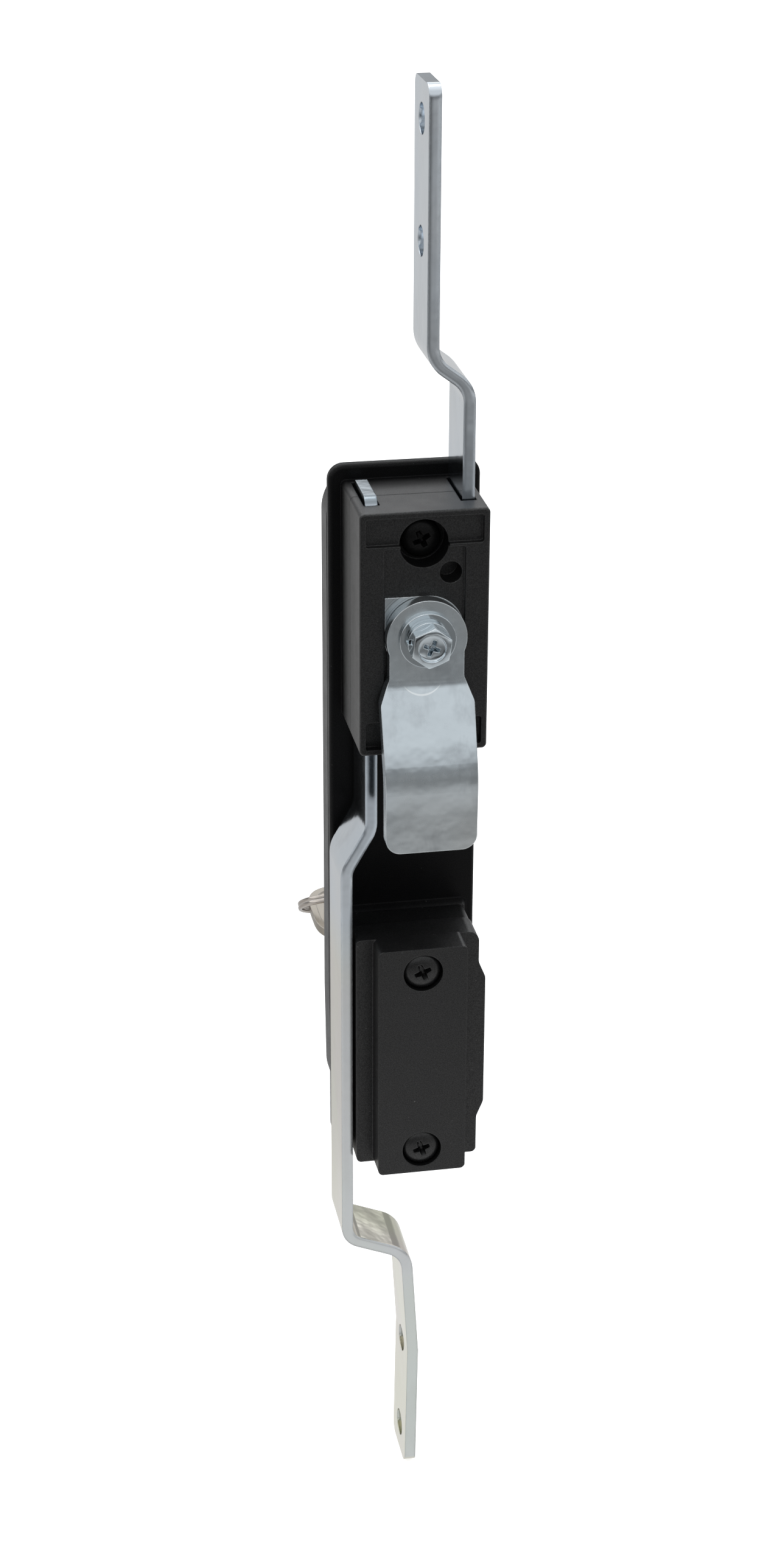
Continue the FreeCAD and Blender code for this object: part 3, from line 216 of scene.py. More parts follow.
def bump(tree, height, strength, distance, normal):
    """A normal that follows a height on top of another normal."""
    node = add(tree, "ShaderNodeBump", Strength=strength, Distance=distance)
    join(tree, (height, node.inputs["Height"]), (normal, node.inputs["Normal"]))
    return node.outputs[0]


BEVEL_SAMPLES = 6
# An edge is marked, as wear and as painted reflection, where the rounded normal turns away from the
# face's own: the cosines where the mark begins and where it is full
EDGE_BEGINS, EDGE_FULL = 0.985, 0.8


def wear_and_reflection_edges_group():
    """A mask of sharp edges, broken up by noise, and the normal that is rounded over them."""
    group, entry, leave = shader_group("edge_wear_and_painted_reflection", {"Place": (0.0, 0.0, 0.0), "Radius": 0.0006},
                                       {"Edge": "Float", "Normal": "Vector"})
    bevel = add(group, "ShaderNodeBevel", samples=BEVEL_SAMPLES)
    geometry = group.nodes.new("ShaderNodeNewGeometry")
    dot = add(group, "ShaderNodeVectorMath", operation="DOT_PRODUCT")
    join(group, (entry["Radius"], bevel.inputs["Radius"]), (bevel.outputs[0], dot.inputs[0]),
         (geometry.outputs["Normal"], dot.inputs[1]))
    turned = ramp(group, dot.outputs["Value"], EDGE_BEGINS, EDGE_FULL)
    broken = patches(group, entry["Place"], 0.38, 0.62, scale=400.0, detail=4.0)
    mask = math_node(group, "MULTIPLY", turned, broken, clamp=True)
    join(group, (mask, leave["Edge"]), (bevel.outputs[0], leave["Normal"]))
    return group


def scratches_group():
    """Fine straight scratches along Z, as a height and a mask."""
    group, entry, leave = shader_group("fine_scratches", {"Place": (0.0, 0.0, 0.0), "Density": 1.0},
                                       {"Height": "Float", "Mask": "Float"})
    place = entry["Place"]
    fine = noise(group, place, scale=900.0, detail=2.0, roughness=0.6, stretch=(1.0, 1.0, 0.03))
    lines = patches(group, place, 0.6, 0.72, scale=260.0, roughness=0.6, stretch=(1.0, 1.0, 0.05))
    spread = patches(group, place, 0.4, 0.65, scale=45.0, detail=2.0)
    masked = math_node(group, "MULTIPLY", lines, spread)
    masked = math_node(group, "MULTIPLY", masked, entry["Density"])
    height = math_node(group, "SUBTRACT", math_node(group, "MULTIPLY", fine, 0.5), masked)
    join(group, (height, leave["Height"]), (masked, leave["Mask"]))
    return group


EDGE_WEAR_AND_REFLECTION = wear_and_reflection_edges_group()
SCRATCHES = scratches_group()


# Materials

# The darkest black is painted shade for the screw heads deep in the gearbox's bores.
# The dish's black is a touch darker than the cover's, as painted shade for its recesses.
BLACK, DISH_SHADED_BLACK, BORE_SHADED_BLACK = (0.0035, 0.0035, 0.0037), (0.0032, 0.0032, 0.0034), (0.002, 0.002, 0.002)
PAINT_BLACK = (0.004, 0.004, 0.0042)
BLACK_ROUGHNESS, STEEL_GRAIN = 0.37, 5200.0
DUST, SMUDGE = (0.35, 0.35, 0.34, 1.0), (0.22, 0.23, 0.25, 1.0)
CRESCENT_TONE, SCORED = (0.9, 0.93, 0.93, 1.0), (0.16, 0.165, 0.17, 1.0)
# A grey laid on the lower rod's end as painted shade.
ROD_END_SHADE = (0.20, 0.23, 0.25, 1.0)
YELLOW_FILM, PINK_FILM = (0.65, 0.64, 0.50, 1.0), (0.65, 0.60, 0.53, 1.0)
WARM_GAINS, COOL_GAINS = (1.02, 0.995, 0.97), (0.95, 0.99, 1.03)
BLACK_EDGE_RADIUS, ZINC_EDGE_RADIUS = 0.00035, 0.0003
GRAIN_DEPTH, SCRATCH_DEPTH = 0.00006, 0.00002


def new_material(name):
    """A material with its Principled shader and the object coordinates of its surface."""
    material = bpy.data.materials.new(name)
    material.use_nodes = True
    tree = material.node_tree
    shader = tree.nodes["Principled BSDF"]
    place = tree.nodes.new("ShaderNodeTexCoord").outputs["Object"]
    return material, tree, shader, place


def finished_material(material):
    """The node tree and the object coordinates of a material that is to be added to."""
    tree = material.node_tree
    return tree, tree.nodes["Texture Coordinate"].outputs["Object"]


def worn_and_reflecting_edges(tree, place, radius):
    """The outputs of the edge mask, for wear and painted reflection, for edges rounded by the given
    radius.
    """
    node = add(tree, "ShaderNodeGroup", node_tree=EDGE_WEAR_AND_REFLECTION)
    node.inputs["Radius"].default_value = radius
    tree.links.new(place, node.inputs["Place"])
    return node.outputs


def shade(tint, gain, lift=0.0):
    """A colour made from a tint by a gain and a lift."""
    return tuple(min(1.0, gain * part + lift) for part in tint) + (1.0,)


def black_moulding(name, tint, roughness, grain_scale=4800.0, grain=0.5, sheen=0.5):
    """Black moulded surface: fine grain, faint blotches, paler edges that are partly rubbed wear and
    partly painted highlight, and dust.
    """
    material, tree, shader, place = new_material(name)
    edges = worn_and_reflecting_edges(tree, place, BLACK_EDGE_RADIUS)
    blotches = noise(tree, place, scale=60.0, detail=4.0, roughness=0.6)
    base = mix_colour(tree, blotches, shade(tint, 0.75), shade(tint, 1.3))
    # Paler edges: partly rubbed wear, partly a painted highlight.
    base = lay(tree, base, edges["Edge"], shade(tint, 2.6, lift=0.01), share=0.55)
    specks = patches(tree, place, 0.74, 0.78, scale=1500.0, detail=2.0, roughness=0.7)
    base = lay(tree, base, specks, DUST, share=0.35)
    rough = ramp(tree, noise(tree, place, scale=220.0), 0.0, 1.0, roughness - 0.06, roughness + 0.08)
    height = noise(tree, place, scale=grain_scale, detail=2.0, roughness=0.6)
    speckle = ramp(tree, height, 0.3, 0.7, 0.55 * sheen, 1.45 * sheen)
    normal = bump(tree, height, strength=grain, distance=GRAIN_DEPTH, normal=edges["Normal"])
    join(tree, (base, shader.inputs["Base Color"]), (rough, shader.inputs["Roughness"]),
         (speckle, shader.inputs["Specular IOR Level"]), (normal, shader.inputs["Normal"]))
    return material


def zinc_plate(name, tint, roughness, stain=0.35, scratch=0.8, waves=0.0003, edge_tint=0.8,
               crown=0.0):
    """Bright zinc plating on rolled steel: faint colour drift, smudges, scratches, soft waves and edges
    tinted as wear and painted reflection; with a crown radius, the sheared edges, which face along Y, look
    rounded."""
    material, tree, shader, place = new_material(name)
    edges = worn_and_reflecting_edges(tree, place, ZINC_EDGE_RADIUS)
    lines = add(tree, "ShaderNodeGroup", node_tree=SCRATCHES)
    lines.inputs["Density"].default_value = scratch
    tree.links.new(place, lines.inputs["Place"])
    drift = patches(tree, place, 0.35, 0.65, scale=28.0, detail=2.0, stretch=(1.0, 1.0, 0.5))
    warm, cool = (tuple(part * gain for part, gain in zip(tint, gains)) + (1.0,)
                  for gains in (WARM_GAINS, COOL_GAINS))
    base = mix_colour(tree, drift, warm, cool)
    smudge = patches(tree, place, 0.52, 0.72, scale=75.0, detail=5.0, roughness=0.65,
                     stretch=(1.0, 1.0, 0.4))
    base = lay(tree, base, smudge, SMUDGE, share=stain)
    # The edge tint is partly wear and partly painted reflection: a pale one is a painted highlight, a dark
    # one, as on the rods, a painted dark reflection.
    base = lay(tree, base, edges["Edge"], (edge_tint, edge_tint, edge_tint * 1.02, 1.0), share=0.5)
    cloudy = math_node(tree, "ADD", noise(tree, place, scale=120.0, detail=4.0, roughness=0.6),
                       math_node(tree, "MULTIPLY", lines.outputs["Mask"], 0.3))
    rough = ramp(tree, cloudy, 0.0, 1.0, roughness * 0.7, roughness * 1.4)
    facing = coordinate(tree, tree.nodes["Texture Coordinate"].outputs["Normal"], "Y")
    sheared = ramp(tree, math_node(tree, "ABSOLUTE", facing), 0.85, 0.97)
    sheared.node.name = "sheared"
    crowned = edges["Normal"]
    if crown:
        arch = add(tree, "ShaderNodeBevel", samples=BEVEL_SAMPLES, Radius=crown)
        choose = add(tree, "ShaderNodeMix", data_type="VECTOR")
        join(tree, (sheared, choose.inputs[0]), (crowned, choose.inputs[4]),
             (arch.outputs[0], choose.inputs[5]))
        crowned = choose.outputs[1]
    rolled = bump(tree, noise(tree, place, scale=95.0), strength=0.5, distance=waves, normal=crowned)
    rolled.node.name = "rolled"
    normal = bump(tree, lines.outputs["Height"], strength=0.3, distance=SCRATCH_DEPTH, normal=rolled)
    shader.inputs["Metallic"].default_value = 1.0
    join(tree, (base, shader.inputs["Base Color"]), (rough, shader.inputs["Roughness"]),
         (normal, shader.inputs["Normal"]))
    return material


def pass_through(tree, target, change):
    """What feeds an input goes through a change first."""
    join(tree, (change(target.links[0].from_socket), target))


def dull(material, mask, share):
    """Take a share of a finished material's sheen away where the mask is."""
    tree = material.node_tree
    kept = math_node(tree, "SUBTRACT", 1.0, math_node(tree, "MULTIPLY", mask, share))
    pass_through(tree, tree.nodes["Principled BSDF"].inputs["Specular IOR Level"],
                 lambda under: math_node(tree, "MULTIPLY", under, kept))


def lay_over(material, mask, colour, share):
    """Lay a colour over a finished material's base colour where the mask is."""
    tree = material.node_tree
    pass_through(tree, tree.nodes["Principled BSDF"].inputs["Base Color"],
                 lambda under: lay(tree, under, mask, colour, share))


SEAM_Y, SEAM_HALF = 0.0114, 0.00022
SCREW_BORE, BORE_RADIUS, BORE_SOFT = (0, UPPER_SCREW_HEIGHT * MM), 0.0050, 0.0004
DISH_RIM_Y, DISH_FLOOR_Y = 0.003, 0.001


def black_cover_seamed():
    """The gearbox cover, with the dark line where its two moulded halves meet and painted shade,
    less sheen, in the bore round its upper screw."""
    material = black_moulding("black_cover_seamed", BLACK, BLACK_ROUGHNESS)
    tree, place = finished_material(material)
    dull(material, axis_band(tree, place, "Y", SEAM_Y, SEAM_HALF), share=0.9)
    # Painted shade: the bore round the upper screw loses most of its sheen.
    dull(material, disc_mask(tree, place, SCREW_BORE, BORE_RADIUS, BORE_SOFT), share=0.7)
    return material


def black_dish():
    """The dish, with painted shade: its black is a touch darker than the cover's, and its sunk floor has
    less sheen than its rim and bosses.
    """
    material = black_moulding("black_dish", DISH_SHADED_BLACK, BLACK_ROUGHNESS)
    tree, place = finished_material(material)
    # Painted shade: the sunk floor loses most of its sheen.
    dull(material, ramp(tree, coordinate(tree, place, "Y"), DISH_RIM_Y, DISH_FLOOR_Y), share=0.78)
    return material


CRESCENT, CRESCENT_RADIUS, CRESCENT_SOFT = (0.0010, 0.0422), 0.0047, 0.0001
BITE, BITE_RADIUS = (0.0010, 0.0431), 0.0052
BEND_TOP, BEND_FOOT, BEND_FALL = 0.028, 0.012, 0.00107
FILM_TOP, FILM_FOOT = -0.020, -0.034
ROD_END_LOW, ROD_END_HIGH = 0.077, 0.078


def cam_zinc():
    """The cam's plating: satin and mottled, with a pale crescent mark; the bend over its foot
    begins softly, so the metal falls away a little above it."""
    material = zinc_plate("cam_zinc", (0.60, 0.635, 0.645), 0.25, stain=0.42, scratch=1.0, waves=0.0007)
    tree, place = finished_material(material)
    whole = disc_mask(tree, place, CRESCENT, CRESCENT_RADIUS, CRESCENT_SOFT)
    bite = disc_mask(tree, place, BITE, BITE_RADIUS, CRESCENT_SOFT)
    crescent = math_node(tree, "SUBTRACT", whole, bite, clamp=True)
    # A pale crescent laid over the cam's colour.
    lay_over(material, crescent, CRESCENT_TONE, share=0.55)
    easing = ramp(tree, coordinate(tree, place, "Z"), BEND_TOP, BEND_FOOT, 1.0, 0.0,
                  interpolation_type="SMOOTHSTEP")
    pass_through(tree, tree.nodes["rolled"].inputs["Normal"],
                 lambda under: bump(tree, easing, strength=1.0, distance=BEND_FALL, normal=under))
    return material


def rod_zinc(name, warmth):
    """The rods' plating, bluish at the gearbox; warmth lets it turn yellow and pink lower down."""
    # The rods' dark edge tint is a painted dark reflection along their edges.
    material = zinc_plate(name, (0.58, 0.635, 0.69), 0.14, stain=0.22, scratch=0.6, edge_tint=0.35,
                          crown=0.0014)
    tree, place = finished_material(material)
    low_down = ramp(tree, coordinate(tree, place, "Z"), FILM_TOP, FILM_FOOT)
    drift = patches(tree, place, 0.42, 0.60, scale=38.0, detail=2.0, stretch=(1.0, 1.0, 0.6))
    film = mix_colour(tree, drift, YELLOW_FILM, PINK_FILM)
    on_edges = math_node(tree, "MULTIPLY", tree.nodes["sheared"].outputs[0], 0.5)
    share = math_node(tree, "MULTIPLY", math_node(tree, "SUBTRACT", 1.0, on_edges), warmth)
    lay_over(material, low_down, film, share)
    return material


def lower_rod_zinc():
    """The lower rod's plating, with painted shade on the end that shows in the gearbox's top."""
    material = rod_zinc("lower_rod_zinc", 0.9)
    tree, place = finished_material(material)
    end = ramp(tree, coordinate(tree, place, "Z"), ROD_END_LOW, ROD_END_HIGH)
    # Painted shade: the rod's end in the gearbox's top is darkened.
    lay_over(material, end, ROD_END_SHADE, share=0.9)
    return material


def plate_zinc():
    """The stop plate's plating, scored in circles by the turning cam."""
    material = zinc_plate("plate_zinc", (0.50, 0.53, 0.54), 0.26, stain=0.4, scratch=0.3)
    tree, place = finished_material(material)
    rings = add(tree, "ShaderNodeTexNoise", noise_dimensions="1D", Scale=4200.0, Detail=3.0)
    tree.links.new(distance_from(tree, place, (0, SPINDLE_HEIGHT * MM)), rings.inputs["W"])
    lay_over(material, ramp(tree, rings.outputs["Fac"], 0.52, 0.66), SCORED, share=0.6)
    return material


MATERIALS = {
    "black_cover": black_moulding("black_cover", BLACK, BLACK_ROUGHNESS),
    "black_handle": black_moulding("black_handle", PAINT_BLACK, 0.34, sheen=0.3),
    "black_steel": black_moulding("black_steel", PAINT_BLACK, 0.30, STEEL_GRAIN, grain=0.2),
    "zinc_plate": zinc_plate("zinc_plate", (0.565, 0.60, 0.61), 0.26),
    "nickel": zinc_plate("nickel", (0.34, 0.315, 0.275), 0.30, stain=0.15, scratch=0.5),
}
BRIGHT_ZINC = zinc_plate("bright_zinc", (0.60, 0.64, 0.655), 0.09, stain=0.15, scratch=0.4, waves=0.0001)
RING_NICKEL = zinc_plate("ring_nickel", (0.43, 0.40, 0.37), 0.13, stain=0.1, scratch=0.3, waves=0.0)
# Painted shade: the gearbox screws' heads sit deep in their bores, so their black is darker and their
# sheen low.
BORE_SHADED_SCREW = black_moulding("bore_shaded_screw", BORE_SHADED_BLACK, 0.34, STEEL_GRAIN, grain=0.2, sheen=0.14)
NODE_FINISHES = {
    "upper_rod": rod_zinc("upper_rod_zinc", 0.0),
    "lower_rod": lower_rod_zinc(),
    "cam": cam_zinc(),
    "stop_plate": plate_zinc(),
    "flat_washer": BRIGHT_ZINC,
    "spring_washer": BRIGHT_ZINC,
    "gearbox_housing": black_cover_seamed(),
    "dish": black_dish(),
}
NODE_SLOTS = {row["node"]: row["material_slot"] for row in frame["record"]["subparts"]}


def dress_cad_nodes():
    """Every CAD node wears its own finish, or that of its slot."""
    for node, cad in frame["nodes"].items():
        finish = NODE_FINISHES.get(node, MATERIALS[NODE_SLOTS[node]])
        if not cad.material_slots:
            cad.data.materials.append(finish)
        for place in cad.material_slots:
            place.material = finish


dress_cad_nodes()


# Screws, the cam's bolt, the key and the split ring, in place of their plain CAD bodies.
# Their sizes are in millimetres, and their profiles are lists of (radius, height).

def wear(mesh, finish, sharp_angle):
    """One material on a mesh, and sharp edges where its faces meet at more than the angle."""
    mesh.materials.clear()
    mesh.materials.append(finish)
    mesh.set_sharp_from_angle(angle=math.radians(sharp_angle))


def plain_mesh(item):
    """An object's mesh with its modifiers worked in."""
    bpy.context.view_layer.update()
    return bpy.data.meshes.new_from_object(item.evaluated_get(bpy.context.evaluated_depsgraph_get()))


def finished_form(name, form):
    """An object for a form under construction, its faces turned outwards."""
    bmesh.ops.recalc_face_normals(form, faces=form.faces)
    mesh = bpy.data.meshes.new(name)
    form.to_mesh(mesh)
    form.free()
    return link_object(name, mesh)


def revolved(name, profile):
    """A closed solid of revolution about Y from (radius, y) points; the ends lie on the axis."""
    steps = 72
    form = bmesh.new()
    rings = []
    for radius, y in profile:
        turns = [math.tau * step / steps for step in range(steps if radius else 1)]
        rings.append([form.verts.new((radius * MM * math.cos(a), y * MM, radius * MM * math.sin(a)))
                      for a in turns])
    for near, far in zip(rings, rings[1:]):
        for step in range(steps):
            following = (step + 1) % steps
            corners = [near[step % len(near)], near[following % len(near)],
                       far[following % len(far)], far[step % len(far)]]
            form.faces.new(list(dict.fromkeys(corners)))
    return finished_form(name, form)


def prism(name, outline, low, high, shrink=1.0):
    """A prism along Y over an (x, z) outline; its low end is shrunk about the axis."""
    form = bmesh.new()
    foot = [form.verts.new((x * shrink * MM, low * MM, z * shrink * MM)) for x, z in outline]
    head = [form.verts.new((x * MM, high * MM, z * MM)) for x, z in outline]
    form.faces.new(foot)
    form.faces.new(head)
    for step in range(len(outline)):
        following = (step + 1) % len(outline)
        form.faces.new((foot[step], foot[following], head[following], head[step]))
    return finished_form(name, form)


def combine(base, tool, operation):
    """Apply a boolean to the base's mesh and drop the tool."""
    change = base.modifiers.new(operation, "BOOLEAN")
    change.operation = operation
    change.solver = "MANIFOLD"
    change.object = tool
    result = plain_mesh(base)
    base.modifiers.remove(change)
    base.data = result
    bpy.data.objects.remove(tool)
    return base


def cross_cutter(name, reach, width, depth, top):
    """A cross recess: four arms that narrow outwards, and all of it towards the bottom."""
    arm_end, taper, overrun = 0.8, 0.42, 0.6
    half, end = width / 2, width / 2 * arm_end
    arm = [(half, half), (reach, end), (reach, -end)]
    outline = []
    for x, z in ((1, 0), (0, 1), (-1, 0), (0, -1)):
        outline += [(x * a + z * b, z * a - x * b) for a, b in arm]
    return prism(name, outline, top - depth, top + overrun, taper)


SHANK_RADIUS, SHANK_POINT, POINT_LENGTH = 2.0, 1.7, 0.4
HEAD_RADIUS, HEAD_FOOT, FOOT_HEIGHT = 4.3, 4.2, 0.12
DOME_FOOT, DOME_RISE, DOME_STEPS = 1.25, 1.35, 10


def pan_head_screw(name, shank):
    """A pan-head cross screw whose head seats at y = 0 and stands towards +Y."""
    profile = [(0, -shank), (SHANK_POINT, -shank), (SHANK_RADIUS, POINT_LENGTH - shank),
               (SHANK_RADIUS, 0), (HEAD_FOOT, 0), (HEAD_RADIUS, FOOT_HEIGHT)]
    for step in range(DOME_STEPS, -1, -1):
        angle = math.pi / 2 * step / DOME_STEPS
        profile.append((HEAD_RADIUS * math.sin(angle), DOME_FOOT + DOME_RISE * math.cos(angle)))
    screw = revolved(name, profile)
    cutter = cross_cutter(f"{name}_cross", reach=2.45, width=1.55, depth=1.9,
                          top=DOME_FOOT + DOME_RISE)
    return combine(screw, cutter, "DIFFERENCE")


def screw_nodes():
    """Node group: one screw on each point, each turned its own way about Y."""
    group, entry, leave = geometry_group("screws_in_place", {
        "Places": "Geometry", "Screw": "Object", "Turn": "Float", "Seed": "Int",
        "Finish": "Material"}, "Screws")
    info = group.nodes.new("GeometryNodeObjectInfo")
    spread = group.nodes.new("GeometryNodeInstanceOnPoints")
    turn = add(group, "FunctionNodeRandomValue", data_type="FLOAT")
    least = math_node(group, "MULTIPLY", entry["Turn"], 0.5)
    axis = group.nodes.new("ShaderNodeCombineXYZ")
    solid = group.nodes.new("GeometryNodeRealizeInstances")
    finish = group.nodes.new("GeometryNodeSetMaterial")
    low, high = [socket for socket in turn.inputs
                 if socket.name in ("Min", "Max") and socket.type == "VALUE"]
    random = next(socket for socket in turn.outputs if socket.type == "VALUE")
    join(group, (entry["Screw"], info.inputs["Object"]),
         (info.outputs["Geometry"], spread.inputs["Instance"]),
         (entry["Places"], spread.inputs["Points"]), (least, low), (entry["Turn"], high),
         (entry["Seed"], turn.inputs["Seed"]), (random, axis.inputs["Y"]),
         (axis.outputs[0], spread.inputs["Rotation"]), (spread.outputs[0], solid.inputs[0]),
         (solid.outputs[0], finish.inputs["Geometry"]),
         (entry["Finish"], finish.inputs["Material"]), (finish.outputs[0], leave["Screws"]))
    return group


def grown(item, group, values):
    """Run a node group on an object and return its plain mesh; the object goes."""
    growth = item.modifiers.new(group.name, "NODES")
    growth.node_group = group
    for socket in group.interface.items_tree:
        if socket.in_out == "INPUT" and socket.name in values:
            growth[socket.identifier] = values[socket.name]
    mesh = plain_mesh(item)
    item.modifiers.remove(growth)
    bpy.data.objects.remove(item)
    return mesh


SCREWS = screw_nodes()


def make_screws(name, node, shank, places, turn, seed, finish):
    """The screws of one CAD node, with real heads, in its place."""
    spots = bpy.data.meshes.new(f"{name}_places")
    spots.from_pydata([tuple(part * MM for part in place) for place in places], [], [])
    pattern = pan_head_screw(f"{name}_pattern", shank)
    mesh = grown(link_object(f"{name}_spots", spots), SCREWS,
                 {"Screw": pattern, "Turn": turn, "Seed": seed, "Finish": finish})
    bpy.data.objects.remove(pattern)
    mesh.name = name
    wear(mesh, finish, 32)
    piece = link_object(name, mesh)
    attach(piece, "base")
    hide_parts(node)


GEARBOX_SEAT, GEARBOX_SHANK = 17.0, 13.6
BRACKET_SEAT, BRACKET_SHANK = 22.85, 19.45
make_screws("gearbox_screw_heads", "gearbox_screws", GEARBOX_SHANK,
            [(0, GEARBOX_SEAT, UPPER_SCREW_HEIGHT), (0, GEARBOX_SEAT, LOWER_SCREW_HEIGHT)],
            turn=0.5, seed=3, finish=BORE_SHADED_SCREW)
make_screws("bracket_screw_heads", "bracket_screws", BRACKET_SHANK,
            [(0, BRACKET_SEAT, -30.5), (0, BRACKET_SEAT, -76.3)],
            turn=0.45, seed=7, finish=MATERIALS["black_steel"])


# The turns of the bolt's hexagon and of its cross, in degrees, as in the photo
HEXAGON_TURN, CROSS_TURN = 22, -21
ACROSS_FLATS, BOLT_HEAD_HEIGHT = 8.0, 3.6
BOLT_CROWN = [(0, -0.5), (6, -0.5), (6, 2.75), (5.0, 3.1), (3.9, 3.6), (0, 3.6)]
BOLT_DISH = [(0, 3.05), (2.5, 3.05), (2.85, 3.2), (3.0, 3.6), (3.1, 4.2), (0, 4.2)]
BOLT_SHANK = [(0, -14.3), (2.1, -14.3), (2.5, -13.9), (2.5, 0.4), (0, 0.4)]
BOLT_SEAT = 28.8


def make_bolt():
    """The cam's hexagon bolt: crowned corners, a dished top and a cross recess turned aside."""
    corner = ACROSS_FLATS / 2 / math.cos(math.pi / 6)
    hexagon = [(corner * math.cos(math.pi / 3 * step), corner * math.sin(math.pi / 3 * step))
               for step in range(6)]
    head = prism("cam_bolt_piece", hexagon, 0, BOLT_HEAD_HEIGHT)
    combine(head, revolved("bolt_crown", BOLT_CROWN), "INTERSECT")
    combine(head, revolved("bolt_dish", BOLT_DISH), "DIFFERENCE")
    head.data.transform(Matrix.Rotation(math.radians(HEXAGON_TURN - CROSS_TURN), 4, "Y"))
    cutter = cross_cutter("bolt_cross", reach=2.2, width=1.2, depth=1.7, top=BOLT_DISH[0][1])
    combine(head, cutter, "DIFFERENCE")
    combine(head, revolved("bolt_shank", BOLT_SHANK), "UNION")
    turn = Matrix.Rotation(math.radians(CROSS_TURN), 4, "Y")
    head.data.transform(Matrix.Translation((0, BOLT_SEAT * MM, SPINDLE_HEIGHT * MM)) @ turn)
    wear(head.data, BRIGHT_ZINC, 30)
    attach(head, "spindle")
    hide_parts("cam_bolt")


make_bolt()


KEY_HEIGHT, KEY_TIP, KEY_NECK, KEY_FAR, KEY_EYE = -46.0, -9.5, -23.9, -50.9, -42.9
BOW_HALF_WIDTH, BOW_SQUARENESS, BOW_STEPS = 15.4, 0.55, 64
RIM_WIDTH, PANEL_LEVEL = 1.6, 0.75
BLADE_HALF_WIDTH, BLADE_OVERLAP = 3.7, 0.5
BOW_HALF_THICKNESS, BLADE_HALF_THICKNESS = 1, 0.98
EYE_RADIUS, EYE_STEPS = 4, 48


def bow_outline(inset=0.0):
    """The key bow's rounded-square outline as (x, -y), set in from its edge."""
    middle, half_length = -(KEY_NECK + KEY_FAR) / 2, (KEY_NECK - KEY_FAR) / 2 - inset
    outline = []
    for step in range(BOW_STEPS):
        angle = math.tau * step / BOW_STEPS
        across, along = (math.copysign(abs(part) ** BOW_SQUARENESS, part)
                         for part in (math.cos(angle), math.sin(angle)))
        outline.append((across * (BOW_HALF_WIDTH - inset), middle + along * half_length))
    return outline


def make_key():
    """The flat key: blade, broad bow with a raised rim, and the eye."""
    key = prism("key_piece", bow_outline(), -BOW_HALF_THICKNESS, BOW_HALF_THICKNESS)
    neck = BLADE_OVERLAP - KEY_NECK
    blade = [(-BLADE_HALF_WIDTH, -KEY_TIP), (BLADE_HALF_WIDTH, -KEY_TIP),
             (BLADE_HALF_WIDTH, neck), (-BLADE_HALF_WIDTH, neck)]
    combine(key, prism("key_blade", blade, -BLADE_HALF_THICKNESS, BLADE_HALF_THICKNESS), "UNION")
    beyond = 2 * BOW_HALF_THICKNESS
    for low, high in ((PANEL_LEVEL, beyond), (-beyond, -PANEL_LEVEL)):
        combine(key, prism("key_panel", bow_outline(RIM_WIDTH), low, high), "DIFFERENCE")
    turns = [math.pi * step / (EYE_STEPS / 2) for step in range(EYE_STEPS)]
    eye = [(EYE_RADIUS * math.cos(a), EYE_RADIUS * math.sin(a) - KEY_EYE) for a in turns]
    combine(key, prism("key_eye", eye, -3 * BOW_HALF_THICKNESS, 3 * BOW_HALF_THICKNESS), "DIFFERENCE")
    turn = Matrix.Rotation(math.radians(90), 4, "X")
    key.data.transform(Matrix.Translation((0, 0, KEY_HEIGHT * MM)) @ turn)
    wear(key.data, MATERIALS["nickel"], 30)
    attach(key, "plug")
    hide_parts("key")


make_key()


def wire_nodes():
    """Node group: flat wire swept along a path."""
    group, entry, leave = geometry_group("flat_wire", {
        "Path": "Geometry", "Width": "Float", "Height": "Float", "Edge Radius": "Float",
        "Finish": "Material"}, "Wire")
    section = group.nodes.new("GeometryNodeCurvePrimitiveQuadrilateral")
    soft = add(group, "GeometryNodeFilletCurve", mode="POLY", Count=6)
    sweep = add(group, "GeometryNodeCurveToMesh", Fill_Caps=True)
    finish = group.nodes.new("GeometryNodeSetMaterial")
    join(group, (entry["Width"], section.inputs["Width"]), (entry["Height"], section.inputs["Height"]),
         (section.outputs["Curve"], soft.inputs["Curve"]), (entry["Edge Radius"], soft.inputs["Radius"]),
         (entry["Path"], sweep.inputs["Curve"]), (soft.outputs[0], sweep.inputs["Profile Curve"]),
         (sweep.outputs[0], finish.inputs["Geometry"]), (entry["Finish"], finish.inputs["Material"]),
         (finish.outputs[0], leave["Wire"]))
    return group


RING_RADIUS, RING_PITCH, RING_TILT, RING_STEPS = 8.7, 1.0, 36, 260
WIRE_WIDTH, WIRE_HEIGHT, WIRE_EDGE = 0.98, 1.16, 0.44
# Angles along the wire, in degrees: its two ends, where it begins to step across and how
# long that takes, and where its first end lies on the ring
WIRE_FROM, WIRE_TO, CROSSING, CROSSING_LENGTH, WIRE_START = 4, 716, 330, 34, 150


